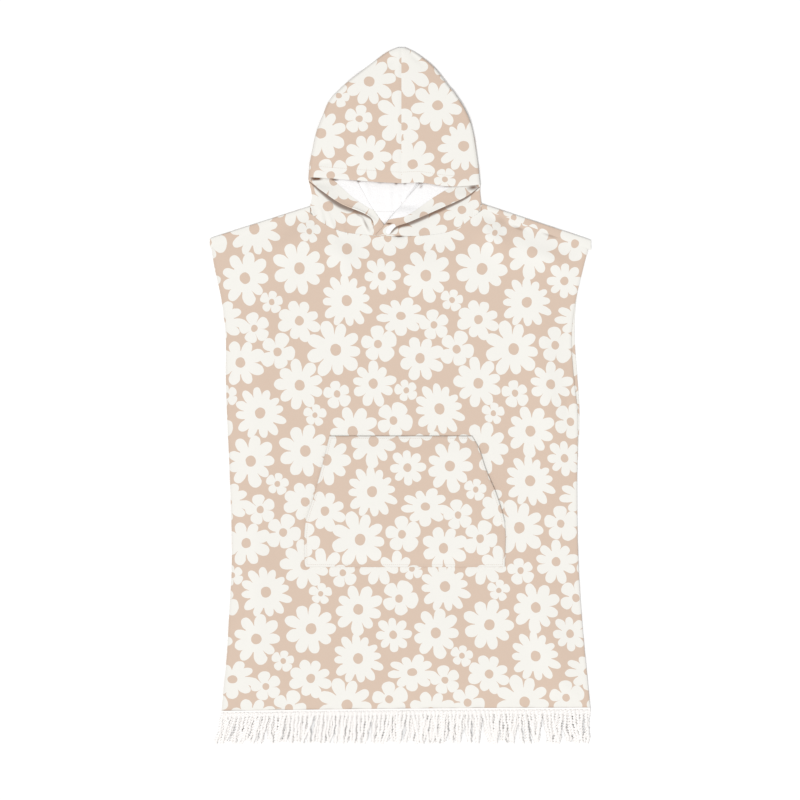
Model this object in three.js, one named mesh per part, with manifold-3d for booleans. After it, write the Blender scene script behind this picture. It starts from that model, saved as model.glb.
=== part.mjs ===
// A child's hooded bath poncho of printed towelling, laid out flat with its front up.
// Millimetres. X runs to the right, Y runs from the hem to the tip of the hood, Z is up from the surface
// it lies on. The origin is on that surface, under the middle of the outline.
import * as THREE from "three";
import { mergeVertices } from "three/addons/utils/BufferGeometryUtils.js";
import Module from "manifold-3d";

const wasm = await Module();
wasm.setup();

// Cloth
const CLOTH = 2.0; // thickness of one layer of towelling
const SEAM_GAP = 0.3; // between two pieces that are sewn together, and between two layers
const LAYER = CLOTH + SEAM_GAP; // from the middle of one layer to the middle of the next
const FLOOR_LAYER = CLOTH / 2; // height of the middle of the layer that rests on the surface
const SECOND_LAYER = FLOOR_LAYER + LAYER;
const THIRD_LAYER = SECOND_LAYER + LAYER;
const FOLD_STEPS = 3; // flat faces round a half turn of cloth

// Body outline: the armholes run from the shoulder tips down to ARMHOLE_FOOT, the side seams below it.
// backShows is how far the back peeps out past the front's right edge.
const bodySides = [
  { height: -516, left: -295, right: 313, backShows: 0 },
  { height: -435, left: -287, right: 305, backShows: 0 },
  { height: -369, left: -283, right: 299, backShows: 0 },
  { height: -270, left: -278, right: 293, backShows: 0 },
  { height: -138, left: -281, right: 291, backShows: 0 },
  { height: -30, left: -286, right: 295, backShows: 3 },
  { height: 40, left: -288, right: 291, backShows: 6 },
  { height: 100, left: -288, right: 287, backShows: 5 },
  { height: 159, left: -295, right: 290, backShows: 1 },
  { height: 215, left: -307, right: 302, backShows: 0 },
  { height: 260, left: -314, right: 314, backShows: 0 },
];
const HEM_HEIGHT = -516;
const HEM_RISE = 5; // how much higher the middle of the hem lies than its ends
const SHOULDER_TIP = { left: -314, right: 314, height: 260 };
const SHOULDER_WRAP = 14; // how far the back panel comes over the shoulder to its seam on the front

// Neckline of the front, from the left end of the shoulder to the right. The hood's halves are sewn to it.
const neckline = [
  { across: -151, height: 304 },
  { across: -134, height: 290 },
  { across: -112, height: 277 },
  { across: -88, height: 270 },
  { across: -64, height: 267 },
  { across: -42, height: 265 },
  { across: -14, height: 264 },
  { across: 14, height: 264 },
  { across: 46, height: 266 },
  { across: 78, height: 271 },
  { across: 101, height: 281 },
  { across: 118, height: 295 },
  { across: 138, height: 312 },
];
const SHOULDER_START = { left: { across: -154, height: 311 }, right: { across: 141, height: 318 } };

// Soft ridges of the front: middle, direction in degrees from +X, half length, half width and height.
const frontRidges = [
  { across: -176, height: 262, turn: 55, reach: 62, spread: 24, rise: 5 },
  { across: -96, height: 238, turn: 100, reach: 55, spread: 26, rise: 3.5 },
  { across: 148, height: 268, turn: 128, reach: 58, spread: 24, rise: 4.5 },
  { across: 236, height: 232, turn: 152, reach: 66, spread: 24, rise: 3 },
  { across: 10, height: 205, turn: 8, reach: 120, spread: 36, rise: 2 },
  { across: -232, height: 60, turn: 82, reach: 150, spread: 30, rise: 2.5 },
  { across: 238, height: 20, turn: 96, reach: 140, spread: 30, rise: 3 },
  { across: -236, height: -330, turn: 88, reach: 150, spread: 28, rise: 2.5 },
  { across: 60, height: -405, turn: 80, reach: 90, spread: 42, rise: 2 },
  { across: 245, height: -400, turn: 104, reach: 110, spread: 34, rise: 2.5 },
];
const FRONT_LOFT = 1.2; // how far the front lies clear of the back away from its seams
const LOFT_EDGE = 45; // the front comes down to its seams over this width
const FRONT_ROWS = 24;
const FRONT_SHOULDER_CELLS = 6;
const BACK_ROWS = 11;
const BACK_SHOULDER_CELLS = 3;
const BACK_NECK_CELLS = 4;

// Hood: silhouette, depth of the pleat folded in at each side, and height of the upper layer's middle.
const CROWN_SEAM = 1.5; // where the seam between the two halves lies
const hoodSides = [
  { down: 0, left: -8, right: 10, height: 574, pleatLeft: 0, pleatRight: 0, top: 4.6 },
  { down: 0.04, left: -26, right: 27, height: 566, pleatLeft: 0, pleatRight: 0, top: 5.6 },
  { down: 0.11, left: -54, right: 54, height: 545, pleatLeft: 0, pleatRight: 0, top: 6.5 },
  { down: 0.24, left: -91, right: 77, height: 516, pleatLeft: 4, pleatRight: 6, top: 8.5 },
  { down: 0.37, left: -117, right: 97, height: 489, pleatLeft: 14, pleatRight: 18, top: 10 },
  { down: 0.5, left: -129, right: 112, height: 462, pleatLeft: 28, pleatRight: 36, top: 11 },
  { down: 0.63, left: -139, right: 120, height: 436, pleatLeft: 44, pleatRight: 58, top: 11.5 },
  { down: 0.76, left: -145, right: 125, height: 409, pleatLeft: 60, pleatRight: 76, top: 12 },
  { down: 0.88, left: -150, right: 129, height: 384, pleatLeft: 72, pleatRight: 92, top: 12 },
  { down: 1.0, left: -152, right: 132, height: 358, pleatLeft: 80, pleatRight: 102, top: 11.5 },
];
// The hem over the forehead: how far it lies below the row's own height, from the crown seam to the side.
const foreheadHem = [
  { out: 0, leftDrop: 7, rightDrop: 7 },
  { out: 0.25, leftDrop: 5, rightDrop: 6 },
  { out: 0.6, leftDrop: 1, rightDrop: 12 },
  { out: 0.85, leftDrop: -2, rightDrop: 11 },
  { out: 1, leftDrop: -3, rightDrop: 9 },
];
const BACK_NECK_DROP = 10; // the back neckline's middle lies this far below its ends
const SMALLEST_PLEAT = 10; // above the row where the pleat gets this deep, the side is a plain fold
const PLEAT_INSET = 0.8; // the upper fold lies this far in from the lower one
const PLAIN_FOLD_WIDER = 1.4; // a plain fold is this much wider than a pressed one
const WIDEST_FOLD = 2.3; // and at most this much, at the tip

// Below the forehead the hood's edges lie turned back like lapels. Each row is a place down the lapel:
// the fold at the side, the roll line and the free edge.
const leftLapel = [
  { down: 0, side: [-152, 358], roll: [-72, 358], edge: [-149, 354] },
  { down: 0.25, side: [-152, 346], roll: [-60, 336], edge: [-127, 337] },
  { down: 0.5, side: [-151, 334], roll: [-47, 313], edge: [-97, 317] },
  { down: 0.75, side: [-151, 322], roll: [-31, 289], edge: [-64, 302] },
  { down: 1, side: [-152, 311], roll: [-14, 264], edge: [-46, 266] },
];
const rightLapel = [
  { down: 0, side: [132, 349], roll: [30, 349], edge: [129, 345] },
  { down: 0.25, side: [134, 341], roll: [14, 331], edge: [106, 328] },
  { down: 0.5, side: [137, 334], roll: [-3, 311], edge: [62, 308] },
  { down: 0.75, side: [138, 326], roll: [-22, 288], edge: [14, 287] },
  { down: 1, side: [139, 318], roll: [-42, 265], edge: [-19, 266] },
];
const LAPEL_LIFT = 3.2; // how far the lapel's free edge stands off the cloth under it
const CROSSING_TOP = 316; // below this height the right half climbs over the left one
const CROSSING_DEPTH = 18;
const CROSSING_SIDE = { starts: 44, done: 2 };
const CROSSING_SLACK = 0.9; // its lapel lies looser where it climbs

// Gathers of the hood along the neck seam: middle, height and half width of each.
const gathers = [
  { across: -143, rise: 1.1, half: 5 },
  { across: -127, rise: 1.5, half: 5.5 },
  { across: -110, rise: 1.2, half: 6 },
  { across: -92, rise: 0.8, half: 6 },
  { across: 98, rise: 0.8, half: 6 },
  { across: 113, rise: 1.3, half: 5.5 },
  { across: 127, rise: 1.1, half: 5 },
];
const GATHER_REACH = 30;
const NECK_CLEAR = 0.35; // the hood's edges stay this far above the neckline

const MOUTH_ROWS = 11;
const ROWS_CROWD = 1.25; // rows lie closer together towards the tip
const LAPEL_ROWS = 6;
const BACK_CELLS = 4;
const LAPEL_CELLS = 4;
const UPPER_CELLS = 6;
const cheekStations = [0.06, 0.13, 0.2, 0.27, 0.35, 0.48, 0.62, 0.74, 0.83, 0.92, 1];

// Kangaroo pocket: its sides slant above the hand openings' foot.
const pocketSides = [
  { up: 0, left: -158, right: 172 },
  { up: 70, left: -157, right: 172 },
  { up: 120, left: -142, right: 158 },
  { up: 160, left: -131, right: 141 },
  { up: 196, left: -122, right: 129 },
  { up: 216, left: -117, right: 118 },
];
const POCKET_FOOT = -281;
const POCKET_HEIGHT = 216;
const POCKET_SIDE_SEWN = 72; // its sides are sewn down to this height, and open above it
const POCKET_CLEAR = 0.35; // between the panel and the pocket where it is sewn down
const POCKET_LOFT = 1.4;
const POCKET_LOFT_EDGE = 30;
const POCKET_ACROSS = 12;
const POCKET_ROWS = 10;

// Fringe: a woven heading along the hem with loose cotton strands hanging from it.
const HEADING_HEIGHT = 10;
const HEADING_THICK = 1.6;
const STRANDS = 102;
const STRAND_SIDES = 3;
const STRAND_STEPS = 3;
const STRAND_RADIUS = 1.15;
const STRAND_ROOT = 1.2; // how far a strand starts inside the heading
const FRINGE_END = -574.4;
const FRINGE_LEAN = { left: -11, right: 4 }; // how far the strands lean at each end of the hem
const FRINGE_NOTCH = { across: 217, half: 7, depth: 9 }; // a few strands here are shorter
const HEADING_CELLS = 12;
const fringes = {
  fringe_front: { middle: SECOND_LAYER + 0.25, sag: 0.15, phase: 0.4, shorter: 0, shift: 0.5 },
  fringe_back: { middle: FLOOR_LAYER + 0.45, sag: 0.1, phase: 0.9, shorter: 3, shift: 1 },
};

const PRINT_COLOUR = 0xece0d4;
const FRINGE_COLOUR = 0xf5f1ea;

// Small sums
const clamp01 = (v) => Math.min(1, Math.max(0, v));
const mix = (a, b, t) => a + (b - a) * t;
const smooth = (v) => {
  const t = clamp01(v);
  return t * t * (3 - 2 * t);
};
const mixPoint = (a, b, t) => a.map((v, i) => mix(v, b[i], t));

// A column of a table at a place along another column, by a smooth curve through its rows.
function read(table, key, at, column) {
  const last = table.length - 1;
  let i = table.findIndex((row) => row[key] > at) - 1;
  if (i === -2) i = last - 1;
  i = Math.max(0, Math.min(last - 1, i));
  const [a, b] = [table[i], table[i + 1]];
  const t = clamp01((at - a[key]) / (b[key] - a[key]));
  const slope = (k) => {
    const [p, q] = [table[Math.max(0, k - 1)], table[Math.min(last, k + 1)]];
    return (value(q) - value(p)) / (q[key] - p[key]);
  };
  const value = (row) => (Array.isArray(column) ? row[column[0]][column[1]] : row[column]);
  const span = b[key] - a[key];
  const [t2, t3] = [t * t, t * t * t];
  return (
    (2 * t3 - 3 * t2 + 1) * value(a) +
    (t3 - 2 * t2 + t) * span * slope(i) +
    (3 * t2 - 2 * t3) * value(b) +
    (t3 - t2) * span * slope(i + 1)
  );
}

// A closed wall of cloth from a grid of middle points. isCloth says which cells of the grid are there.
function clothWall(points, isCloth = () => true, thickness = CLOTH) {
  const rows = points.length - 1;
  const columns = points[0].length - 1;
  const there = (r, c) => r >= 0 && c >= 0 && r < rows && c < columns && isCloth(r, c);
  const place = (r, c) => points[r][c].toArray().map((v) => v.toFixed(4)).join();
  const normals = new Map();
  const step = (a, b) => new THREE.Vector3().subVectors(b, a).normalize();
  for (let r = 0; r < rows; r++)
    for (let c = 0; c < columns; c++) {
      if (!there(r, c)) continue;
      const corner = [
        [r, c],
        [r, c + 1],
        [r + 1, c + 1],
        [r + 1, c],
      ];
      corner.forEach(([i, j], k) => {
        const [pi, pj] = corner[(k + 3) % 4];
        const [ni, nj] = corner[(k + 1) % 4];
        const ahead = step(points[i][j], points[ni][nj]);
        const behind = step(points[i][j], points[pi][pj]);
        if (!normals.has(place(i, j))) normals.set(place(i, j), new THREE.Vector3());
        normals.get(place(i, j)).add(ahead.cross(behind).normalize());
      });
    }
  const vertices = [];
  const index = new Map();
  const vertex = (r, c, side) => {
    const key = `${place(r, c)} ${side}`;
    if (!index.has(key)) {
      index.set(key, vertices.length / 3);
      const n = normals.get(place(r, c)).clone().normalize();
      vertices.push(...points[r][c].clone().addScaledVector(n, (side * thickness) / 2).toArray());
    }
    return index.get(key);
  };
  const triangles = [];
  const face = (a, b, c) => {
    if (a !== b && b !== c && c !== a) triangles.push(a, b, c);
  };
  for (let r = 0; r < rows; r++)
    for (let c = 0; c < columns; c++) {
      if (!there(r, c)) continue;
      const corner = [
        [r, c],
        [r, c + 1],
        [r + 1, c + 1],
        [r + 1, c],
      ];
      const up = corner.map(([i, j]) => vertex(i, j, 1));
      const down = corner.map(([i, j]) => vertex(i, j, -1));
      face(up[0], up[1], up[2]);
      face(up[0], up[2], up[3]);
      face(down[0], down[2], down[1]);
      face(down[0], down[3], down[2]);
      const beside = [
        [r - 1, c],
        [r, c + 1],
        [r + 1, c],
        [r, c - 1],
      ];
      beside.forEach(([i, j], k) => {
        if (there(i, j)) return;
        const next = (k + 1) % 4;
        face(up[next], up[k], down[k]);
        face(up[next], down[k], down[next]);
      });
    }
  const geometry = new THREE.BufferGeometry();
  geometry.setAttribute("position", new THREE.Float32BufferAttribute(vertices, 3));
  geometry.setIndex(triangles);
  geometry.computeVertexNormals();
  return geometry;
}

// Where the cloth of the front lies
const left = (y) => read(bodySides, "height", y, "left");
const right = (y) => read(bodySides, "height", y, "right");
const backShows = (y) => Math.max(0, read(bodySides, "height", y, "backShows"));
const hemHeight = (u) => HEM_HEIGHT + HEM_RISE * Math.sin(Math.PI * u);

function ridgeHeight(ridge, x, y) {
  const turn = THREE.MathUtils.degToRad(ridge.turn);
  const [dx, dy] = [x - ridge.across, y - ridge.height];
  const along = (dx * Math.cos(turn) + dy * Math.sin(turn)) / ridge.reach;
  const aside = (dy * Math.cos(turn) - dx * Math.sin(turn)) / ridge.spread;
  return ridge.rise * Math.exp(-(along * along) * 1.5 - aside * aside * 1.5);
}

// Height of the middle of the front panel at a point, fromEdge being its distance from the nearest seam.
function frontHeight(x, y, fromEdge) {
  const loft = frontRidges.reduce((sum, ridge) => sum + ridgeHeight(ridge, x, y), FRONT_LOFT);
  return SECOND_LAYER + loft * smooth(fromEdge / LOFT_EDGE);
}

// A point inside an outline of four curves, each given as a function from 0 to 1.
function insideOutline(u, v, bottom, top, leftSide, rightSide) {
  const corners = mixPoint(mixPoint(bottom(0), bottom(1), u), mixPoint(top(0), top(1), u), v);
  const between = mixPoint(bottom(u), top(u), v);
  const across = mixPoint(leftSide(v), rightSide(v), u);
  return between.map((value, i) => value + across[i] - corners[i]);
}

// The places across the top, as fractions of the width: left shoulder, neckline, right shoulder.
function topStations(shoulderCells, neckPoints) {
  const stations = [];
  for (let i = 0; i < shoulderCells; i++) stations.push({ part: "left", at: i / shoulderCells });
  neckPoints.forEach((at) => stations.push({ part: "neck", at }));
  for (let i = 1; i <= shoulderCells; i++) stations.push({ part: "right", at: i / shoulderCells });
  return stations;
}

const TIP_SPAN = SHOULDER_TIP.right - SHOULDER_TIP.left;
const asFraction = (x) => (x - SHOULDER_TIP.left) / TIP_SPAN;

function frontPanel() {
  const stations = topStations(
    FRONT_SHOULDER_CELLS,
    neckline.map((_, i) => i),
  );
  const [first, last] = [neckline[0], neckline[neckline.length - 1]];
  const tipHeight = SHOULDER_TIP.height - SHOULDER_WRAP;
  const seam = SEAM_GAP / 2;
  const topPoint = ({ part, at }) => {
    if (part === "neck") return [neckline[at].across, neckline[at].height - seam];
    if (part === "left")
      return mixPoint([left(tipHeight), tipHeight - seam], [first.across, first.height - seam], at);
    const tip = [right(tipHeight) - backShows(tipHeight), tipHeight - seam];
    return mixPoint([last.across, last.height - seam], tip, at);
  };
  const tops = stations.map(topPoint);
  const width = tops[tops.length - 1][0] - tops[0][0];
  const fractions = tops.map((p) => (p[0] - tops[0][0]) / width);
  const leftFoot = [left(HEM_HEIGHT), HEM_HEIGHT];
  const rightFoot = [right(HEM_HEIGHT), HEM_HEIGHT];
  const points = [];
  for (let r = 0; r <= FRONT_ROWS; r++) {
    const v = r / FRONT_ROWS;
    const y = mix(HEM_HEIGHT, tipHeight - seam, v);
    const row = fractions.map((u, c) => {
      const bottom = (t) => [mix(leftFoot[0], rightFoot[0], t), hemHeight(t)];
      const top = (t) => (t === 0 ? tops[0] : t === 1 ? tops[tops.length - 1] : tops[c]);
      const [x, h] = insideOutline(
        u,
        v,
        bottom,
        top,
        () => [left(y), y],
        () => [right(y) - backShows(y), y],
      );
      const down = Math.max(0, tops[c][1] - h);
      const fromEdge = Math.min(x - left(h), right(h) - backShows(h) - x, h - hemHeight(u), down);
      return new THREE.Vector3(x, h, frontHeight(x, h, fromEdge));
    });
    points.push(row);
  }
  return clothWall(points);
}

// The back neckline, made of BACK_NECK_CELLS straight stretches.
function backNeckHeight(x) {
  const [start, end] = [SHOULDER_START.left, SHOULDER_START.right];
  const curve = (at) => mix(start.height, end.height, at) - BACK_NECK_DROP * (1 - (2 * at - 1) ** 2);
  const at = clamp01((x - start.across) / (end.across - start.across)) * BACK_NECK_CELLS;
  const cell = Math.min(BACK_NECK_CELLS - 1, Math.floor(at));
  return mix(curve(cell / BACK_NECK_CELLS), curve((cell + 1) / BACK_NECK_CELLS), at - cell);
}

// The front neckline, straight between the rows of its table.
function frontNeckHeight(x) {
  const i = neckline.findIndex((row) => row.across > x);
  if (i < 0) return neckline[neckline.length - 1].height;
  if (i === 0) return neckline[0].height;
  const [a, b] = [neckline[i - 1], neckline[i]];
  return mix(a.height, b.height, (x - a.across) / (b.across - a.across));
}

// The back rests on the surface, turns over at the shoulders and is sewn to the front below them.
function backPanel() {
  const neckCells = Array.from({ length: BACK_NECK_CELLS + 1 }, (_, i) => i / BACK_NECK_CELLS);
  const stations = topStations(BACK_SHOULDER_CELLS, neckCells);
  const [start, end] = [SHOULDER_START.left, SHOULDER_START.right];
  const topPoint = ({ part, at }) => {
    if (part === "neck") {
      const x = mix(start.across, end.across, at);
      return [x, backNeckHeight(x) - SEAM_GAP / 2];
    }
    if (part === "left")
      return mixPoint([SHOULDER_TIP.left, SHOULDER_TIP.height], [start.across, start.height], at);
    return mixPoint([end.across, end.height], [SHOULDER_TIP.right, SHOULDER_TIP.height], at);
  };
  const tops = stations.map(topPoint);
  const columns = stations.length;
  const points = [];
  for (let r = 0; r <= BACK_ROWS; r++) {
    const v = r / BACK_ROWS;
    const y = mix(HEM_HEIGHT, SHOULDER_TIP.height, v);
    points.push(
      tops.map((p, c) => {
        const u = asFraction(p[0]);
        const bottom = (t) => [mix(left(HEM_HEIGHT), right(HEM_HEIGHT), t), hemHeight(t)];
        const top = (t) => (t === 0 ? tops[0] : t === 1 ? tops[columns - 1] : tops[c]);
        const [x, h] = insideOutline(
          u,
          v,
          bottom,
          top,
          () => [left(y), y],
          () => [right(y), y],
        );
        return new THREE.Vector3(x, h, FLOOR_LAYER);
      }),
    );
  }
  const radius = LAYER / 2;
  const turned = (c, angle, back) => {
    const [x, y] = tops[c];
    const along = radius * Math.sin(angle) - radius;
    return new THREE.Vector3(x, y + along - back, FLOOR_LAYER + radius * (1 - Math.cos(angle)));
  };
  const flatTop = points[BACK_ROWS];
  flatTop.forEach((p, c) => {
    if (!inNeck(c)) p.y = tops[c][1] - radius;
  });
  for (let i = 1; i <= FOLD_STEPS; i++)
    points.push(flatTop.map((_, c) => turned(c, (Math.PI * i) / FOLD_STEPS, 0)));
  points.push(
    flatTop.map((_, c) => {
      const p = turned(c, Math.PI, SHOULDER_WRAP - radius);
      p.y = shoulderSeamHeight(p.x) + SEAM_GAP / 2;
      return p;
    }),
  );
  function inNeck(c) {
    return c > BACK_SHOULDER_CELLS && c < BACK_SHOULDER_CELLS + BACK_NECK_CELLS;
  }
  const neckCell = (c) => c >= BACK_SHOULDER_CELLS && c < BACK_SHOULDER_CELLS + BACK_NECK_CELLS;
  return clothWall(points, (r, c) => r < BACK_ROWS || !neckCell(c));
}

// The line where the back, come over the shoulder, is sewn to the front.
function shoulderSeamHeight(x) {
  const tipHeight = SHOULDER_TIP.height - SHOULDER_WRAP;
  const [first, last] = [neckline[0], neckline[neckline.length - 1]];
  if (x < 0) {
    const t = (x - left(tipHeight)) / (first.across - left(tipHeight));
    return mix(tipHeight, first.height, t);
  }
  const t = (x - last.across) / (right(tipHeight) - last.across);
  return mix(last.height, tipHeight, t);
}

// The hood. One grid runs across each half: from the seam at the back of the head out to the side, in along
// the cheek, back out along the lapel or pleat, and over the head to the crown seam.
const FOLD_RADIUS = LAYER / 2;
const FOLD_TIP = FOLD_RADIUS + CLOTH / 2; // from a fold's centre to its outermost face
const FREE_EDGE = BACK_CELLS + FOLD_STEPS + cheekStations.length + FOLD_STEPS + LAPEL_CELLS;
const UPPER_SIDE = FLOOR_LAYER + 3 * LAYER; // height of the upper layer's middle at a pleated side
const TIP_SIDE = 4.1; // and at the tip, where there are only two layers

// Points along a half turn of cloth, after the first. It bulges to one side of the line between its ends.
function halfTurn(from, to, bulge, steps) {
  return Array.from({ length: steps }, (_, i) => {
    const angle = (Math.PI * (i + 1)) / steps;
    const p = from.clone().lerp(to, (1 - Math.cos(angle)) / 2);
    p.x += bulge * Math.sin(angle);
    return p;
  });
}

// How far the right half lies above its usual layer, where it crosses over the left half.
function crossing(side, x, y) {
  if (side < 0) return 0;
  const across = (CROSSING_SIDE.starts - x) / (CROSSING_SIDE.starts - CROSSING_SIDE.done);
  return smooth(across) * smooth((CROSSING_TOP - y) / CROSSING_DEPTH);
}

function gatherHeight(x, y) {
  const fade = smooth(1 - (y - frontNeckHeight(x)) / GATHER_REACH);
  const wave = ({ across, rise, half }) => rise * Math.exp(-(((x - across) / half) ** 2));
  return fade * gathers.reduce((sum, gather) => sum + wave(gather), 0);
}

const cheek = (side, x, y) =>
  new THREE.Vector3(x, y, SECOND_LAYER + gatherHeight(x, y) + 2 * LAYER * crossing(side, x, y));

function lapelPoint(side, x, y, lift) {
  const climb = crossing(side, x, y);
  const slack = CROSSING_SLACK * 4 * climb * (1 - climb);
  return new THREE.Vector3(x, y, THIRD_LAYER + 2 * LAYER * climb + slack + lift);
}

// How much wider a fold is along X where the silhouette runs aslant.
function foldSlant(name, down) {
  const step = 0.02;
  const [a, b] = [Math.max(0, down - step), Math.min(1, down + step)];
  const across = read(hoodSides, "down", b, name) - read(hoodSides, "down", a, name);
  const along = read(hoodSides, "down", b, "height") - read(hoodSides, "down", a, "height");
  return Math.hypot(1, across / along);
}

// A row across the hood above its mouth.
function headRow(side, down) {
  const name = side < 0 ? "left" : "right";
  const at = (column) => read(hoodSides, "down", down, column);
  const lapel = side < 0 ? leftLapel : rightLapel;
  const last = hoodSides[hoodSides.length - 1];
  const nearMouth = smooth((down - 0.6) / 0.4);
  const sideDrop = nearMouth * (last.height - lapel[0].side[1]);
  const edgeDrop = nearMouth * (last.height - lapel[0].edge[1]);
  const height = at("height");
  const seam = CROWN_SEAM + (side * SEAM_GAP) / 2;
  const depth = at(side < 0 ? "pleatLeft" : "pleatRight");
  const pleated = depth >= SMALLEST_PLEAT;
  const slant = Math.min(WIDEST_FOLD, foldSlant(name, down) * (pleated ? 1 : PLAIN_FOLD_WIDER));
  const outer = at(name) - side * FOLD_TIP * slant;
  const inner = outer - side * PLEAT_INSET;
  const upperSide = pleated ? UPPER_SIDE : mix(TIP_SIDE, UPPER_SIDE, smooth(down / 0.28));
  const row = [];
  for (let i = 0; i <= BACK_CELLS; i++) {
    const out = i / BACK_CELLS;
    row.push(new THREE.Vector3(mix(seam, outer, out), height - sideDrop * out, FLOOR_LAYER));
  }
  const floorEnd = row[BACK_CELLS];
  const hem = (out) => nearMouth * read(foreheadHem, "out", out, side < 0 ? "leftDrop" : "rightDrop");
  if (pleated) {
    const roll = at(name) - side * (depth - FOLD_TIP);
    const level = height - sideDrop;
    const cheekStart = cheek(side, outer, level);
    row.push(...halfTurn(floorEnd, cheekStart, side * FOLD_RADIUS * slant, FOLD_STEPS));
    for (const t of cheekStations) row.push(cheek(side, mix(outer, roll, t), level));
    const pleatStart = new THREE.Vector3(roll, level, THIRD_LAYER);
    row.push(...halfTurn(row[row.length - 1], pleatStart, -side * FOLD_RADIUS, FOLD_STEPS));
    for (let i = 1; i <= LAPEL_CELLS; i++) {
      const t = i / LAPEL_CELLS;
      row.push(new THREE.Vector3(mix(roll, inner, t), height - mix(sideDrop, edgeDrop, t), THIRD_LAYER));
    }
    const upperEnd = new THREE.Vector3(inner, height - hem(1), UPPER_SIDE);
    row.push(...halfTurn(row[row.length - 1], upperEnd, side * FOLD_RADIUS * slant, FOLD_STEPS));
  } else {
    const upperEnd = new THREE.Vector3(inner, height - hem(1), upperSide);
    const turn = halfTurn(floorEnd, upperEnd, side * FOLD_RADIUS * slant, 2 * FOLD_STEPS);
    row.push(...turn.slice(0, FOLD_STEPS));
    while (row.length <= FREE_EDGE) row.push(turn[FOLD_STEPS - 1].clone());
    row.push(...turn.slice(FOLD_STEPS));
  }
  for (let i = 1; i <= UPPER_CELLS; i++) {
    const out = 1 - i / UPPER_CELLS;
    const z = mix(at("top"), upperSide, out * out);
    row.push(new THREE.Vector3(mix(seam, inner, out), height - hem(out), z));
  }
  return row;
}

// A row below the mouth: the back of the head, the cheek and the lapel, down to the neck seam.
function neckRow(side, down) {
  const lapel = side < 0 ? leftLapel : rightLapel;
  const seam = CROWN_SEAM + (side * SEAM_GAP) / 2;
  const spot = (column, t, shift) => [
    read(lapel, "down", t, [column, 0]) + shift,
    read(lapel, "down", t, [column, 1]),
  ];
  const sideAt = (t) => spot("side", t, -side * FOLD_TIP);
  const rollAt = (t) => spot("roll", t, side * FOLD_TIP);
  const clear = NECK_CLEAR;
  const mouthHeight = hoodSides[hoodSides.length - 1].height;
  const row = [];
  for (let i = 0; i <= BACK_CELLS; i++) {
    const u = i / BACK_CELLS;
    const neck = (t) => {
      const x = mix(seam, sideAt(1)[0], t);
      return [x, backNeckHeight(x) + clear];
    };
    const mouth = (t) => mixPoint([seam, mouthHeight], sideAt(0), t);
    const middle = (v) => [seam, mix(neck(0)[1], mouthHeight, v)];
    const [x, y] = insideOutline(u, 1 - down, neck, mouth, middle, (v) => sideAt(1 - v));
    row.push(new THREE.Vector3(x, Math.max(y, backNeckHeight(x) + clear), FLOOR_LAYER));
  }
  const cheekStart = cheek(side, ...sideAt(down));
  row.push(...halfTurn(row[BACK_CELLS], cheekStart, side * FOLD_RADIUS, FOLD_STEPS));
  for (const u of cheekStations) {
    const neck = (t) => {
      const x = mix(sideAt(1)[0], rollAt(1)[0], t);
      return [x, t === 0 ? sideAt(1)[1] : frontNeckHeight(x) + clear];
    };
    const mouth = (t) => mixPoint(sideAt(0), rollAt(0), t);
    const outline = [neck, mouth, (v) => sideAt(1 - v), (v) => rollAt(1 - v)];
    const [x, y] = insideOutline(u, 1 - down, ...outline);
    row.push(cheek(side, x, Math.max(y, frontNeckHeight(x) + clear)));
  }
  const rollEnd = row[row.length - 1];
  const lapelStart = lapelPoint(side, rollEnd.x, rollEnd.y, 0);
  row.push(...halfTurn(rollEnd, lapelStart, -side * FOLD_RADIUS, FOLD_STEPS));
  const edge = spot("edge", down, 0);
  for (let i = 1; i <= LAPEL_CELLS; i++) {
    const t = i / LAPEL_CELLS;
    const [x, y] = mixPoint([rollEnd.x, rollEnd.y], edge, t);
    const lift = LAPEL_LIFT * t * t * smooth(down / 0.25) * smooth((1 - down) / 0.35);
    row.push(lapelPoint(side, x, Math.max(y, frontNeckHeight(x) + clear), lift));
  }
  while (row.length <= FREE_EDGE + FOLD_STEPS + UPPER_CELLS) row.push(row[FREE_EDGE].clone());
  return row;
}

function hoodHalf(side) {
  const rows = [];
  for (let r = 0; r <= MOUTH_ROWS; r++) rows.push(headRow(side, (r / MOUTH_ROWS) ** ROWS_CROWD));
  for (let r = 1; r <= LAPEL_ROWS; r++) rows.push(neckRow(side, r / LAPEL_ROWS));
  return clothWall(rows, (r, c) => r < MOUTH_ROWS || c < FREE_EDGE);
}

// The pocket follows the front panel's own faces, one layer above them.
function heightOnFaces(geometry, x, y) {
  const position = geometry.getAttribute("position");
  const index = geometry.getIndex();
  let best = -Infinity;
  const corner = [new THREE.Vector3(), new THREE.Vector3(), new THREE.Vector3()];
  for (let i = 0; i < index.count; i += 3) {
    corner.forEach((p, k) => p.fromBufferAttribute(position, index.getX(i + k)));
    const [a, b, c] = corner;
    const area = (b.x - a.x) * (c.y - a.y) - (c.x - a.x) * (b.y - a.y);
    if (Math.abs(area) < 1e-6) continue;
    const u = ((x - a.x) * (c.y - a.y) - (c.x - a.x) * (y - a.y)) / area;
    const v = ((b.x - a.x) * (y - a.y) - (x - a.x) * (b.y - a.y)) / area;
    if (u < -1e-9 || v < -1e-9 || u + v > 1 + 1e-9) continue;
    best = Math.max(best, a.z + u * (b.z - a.z) + v * (c.z - a.z));
  }
  return best;
}

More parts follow.
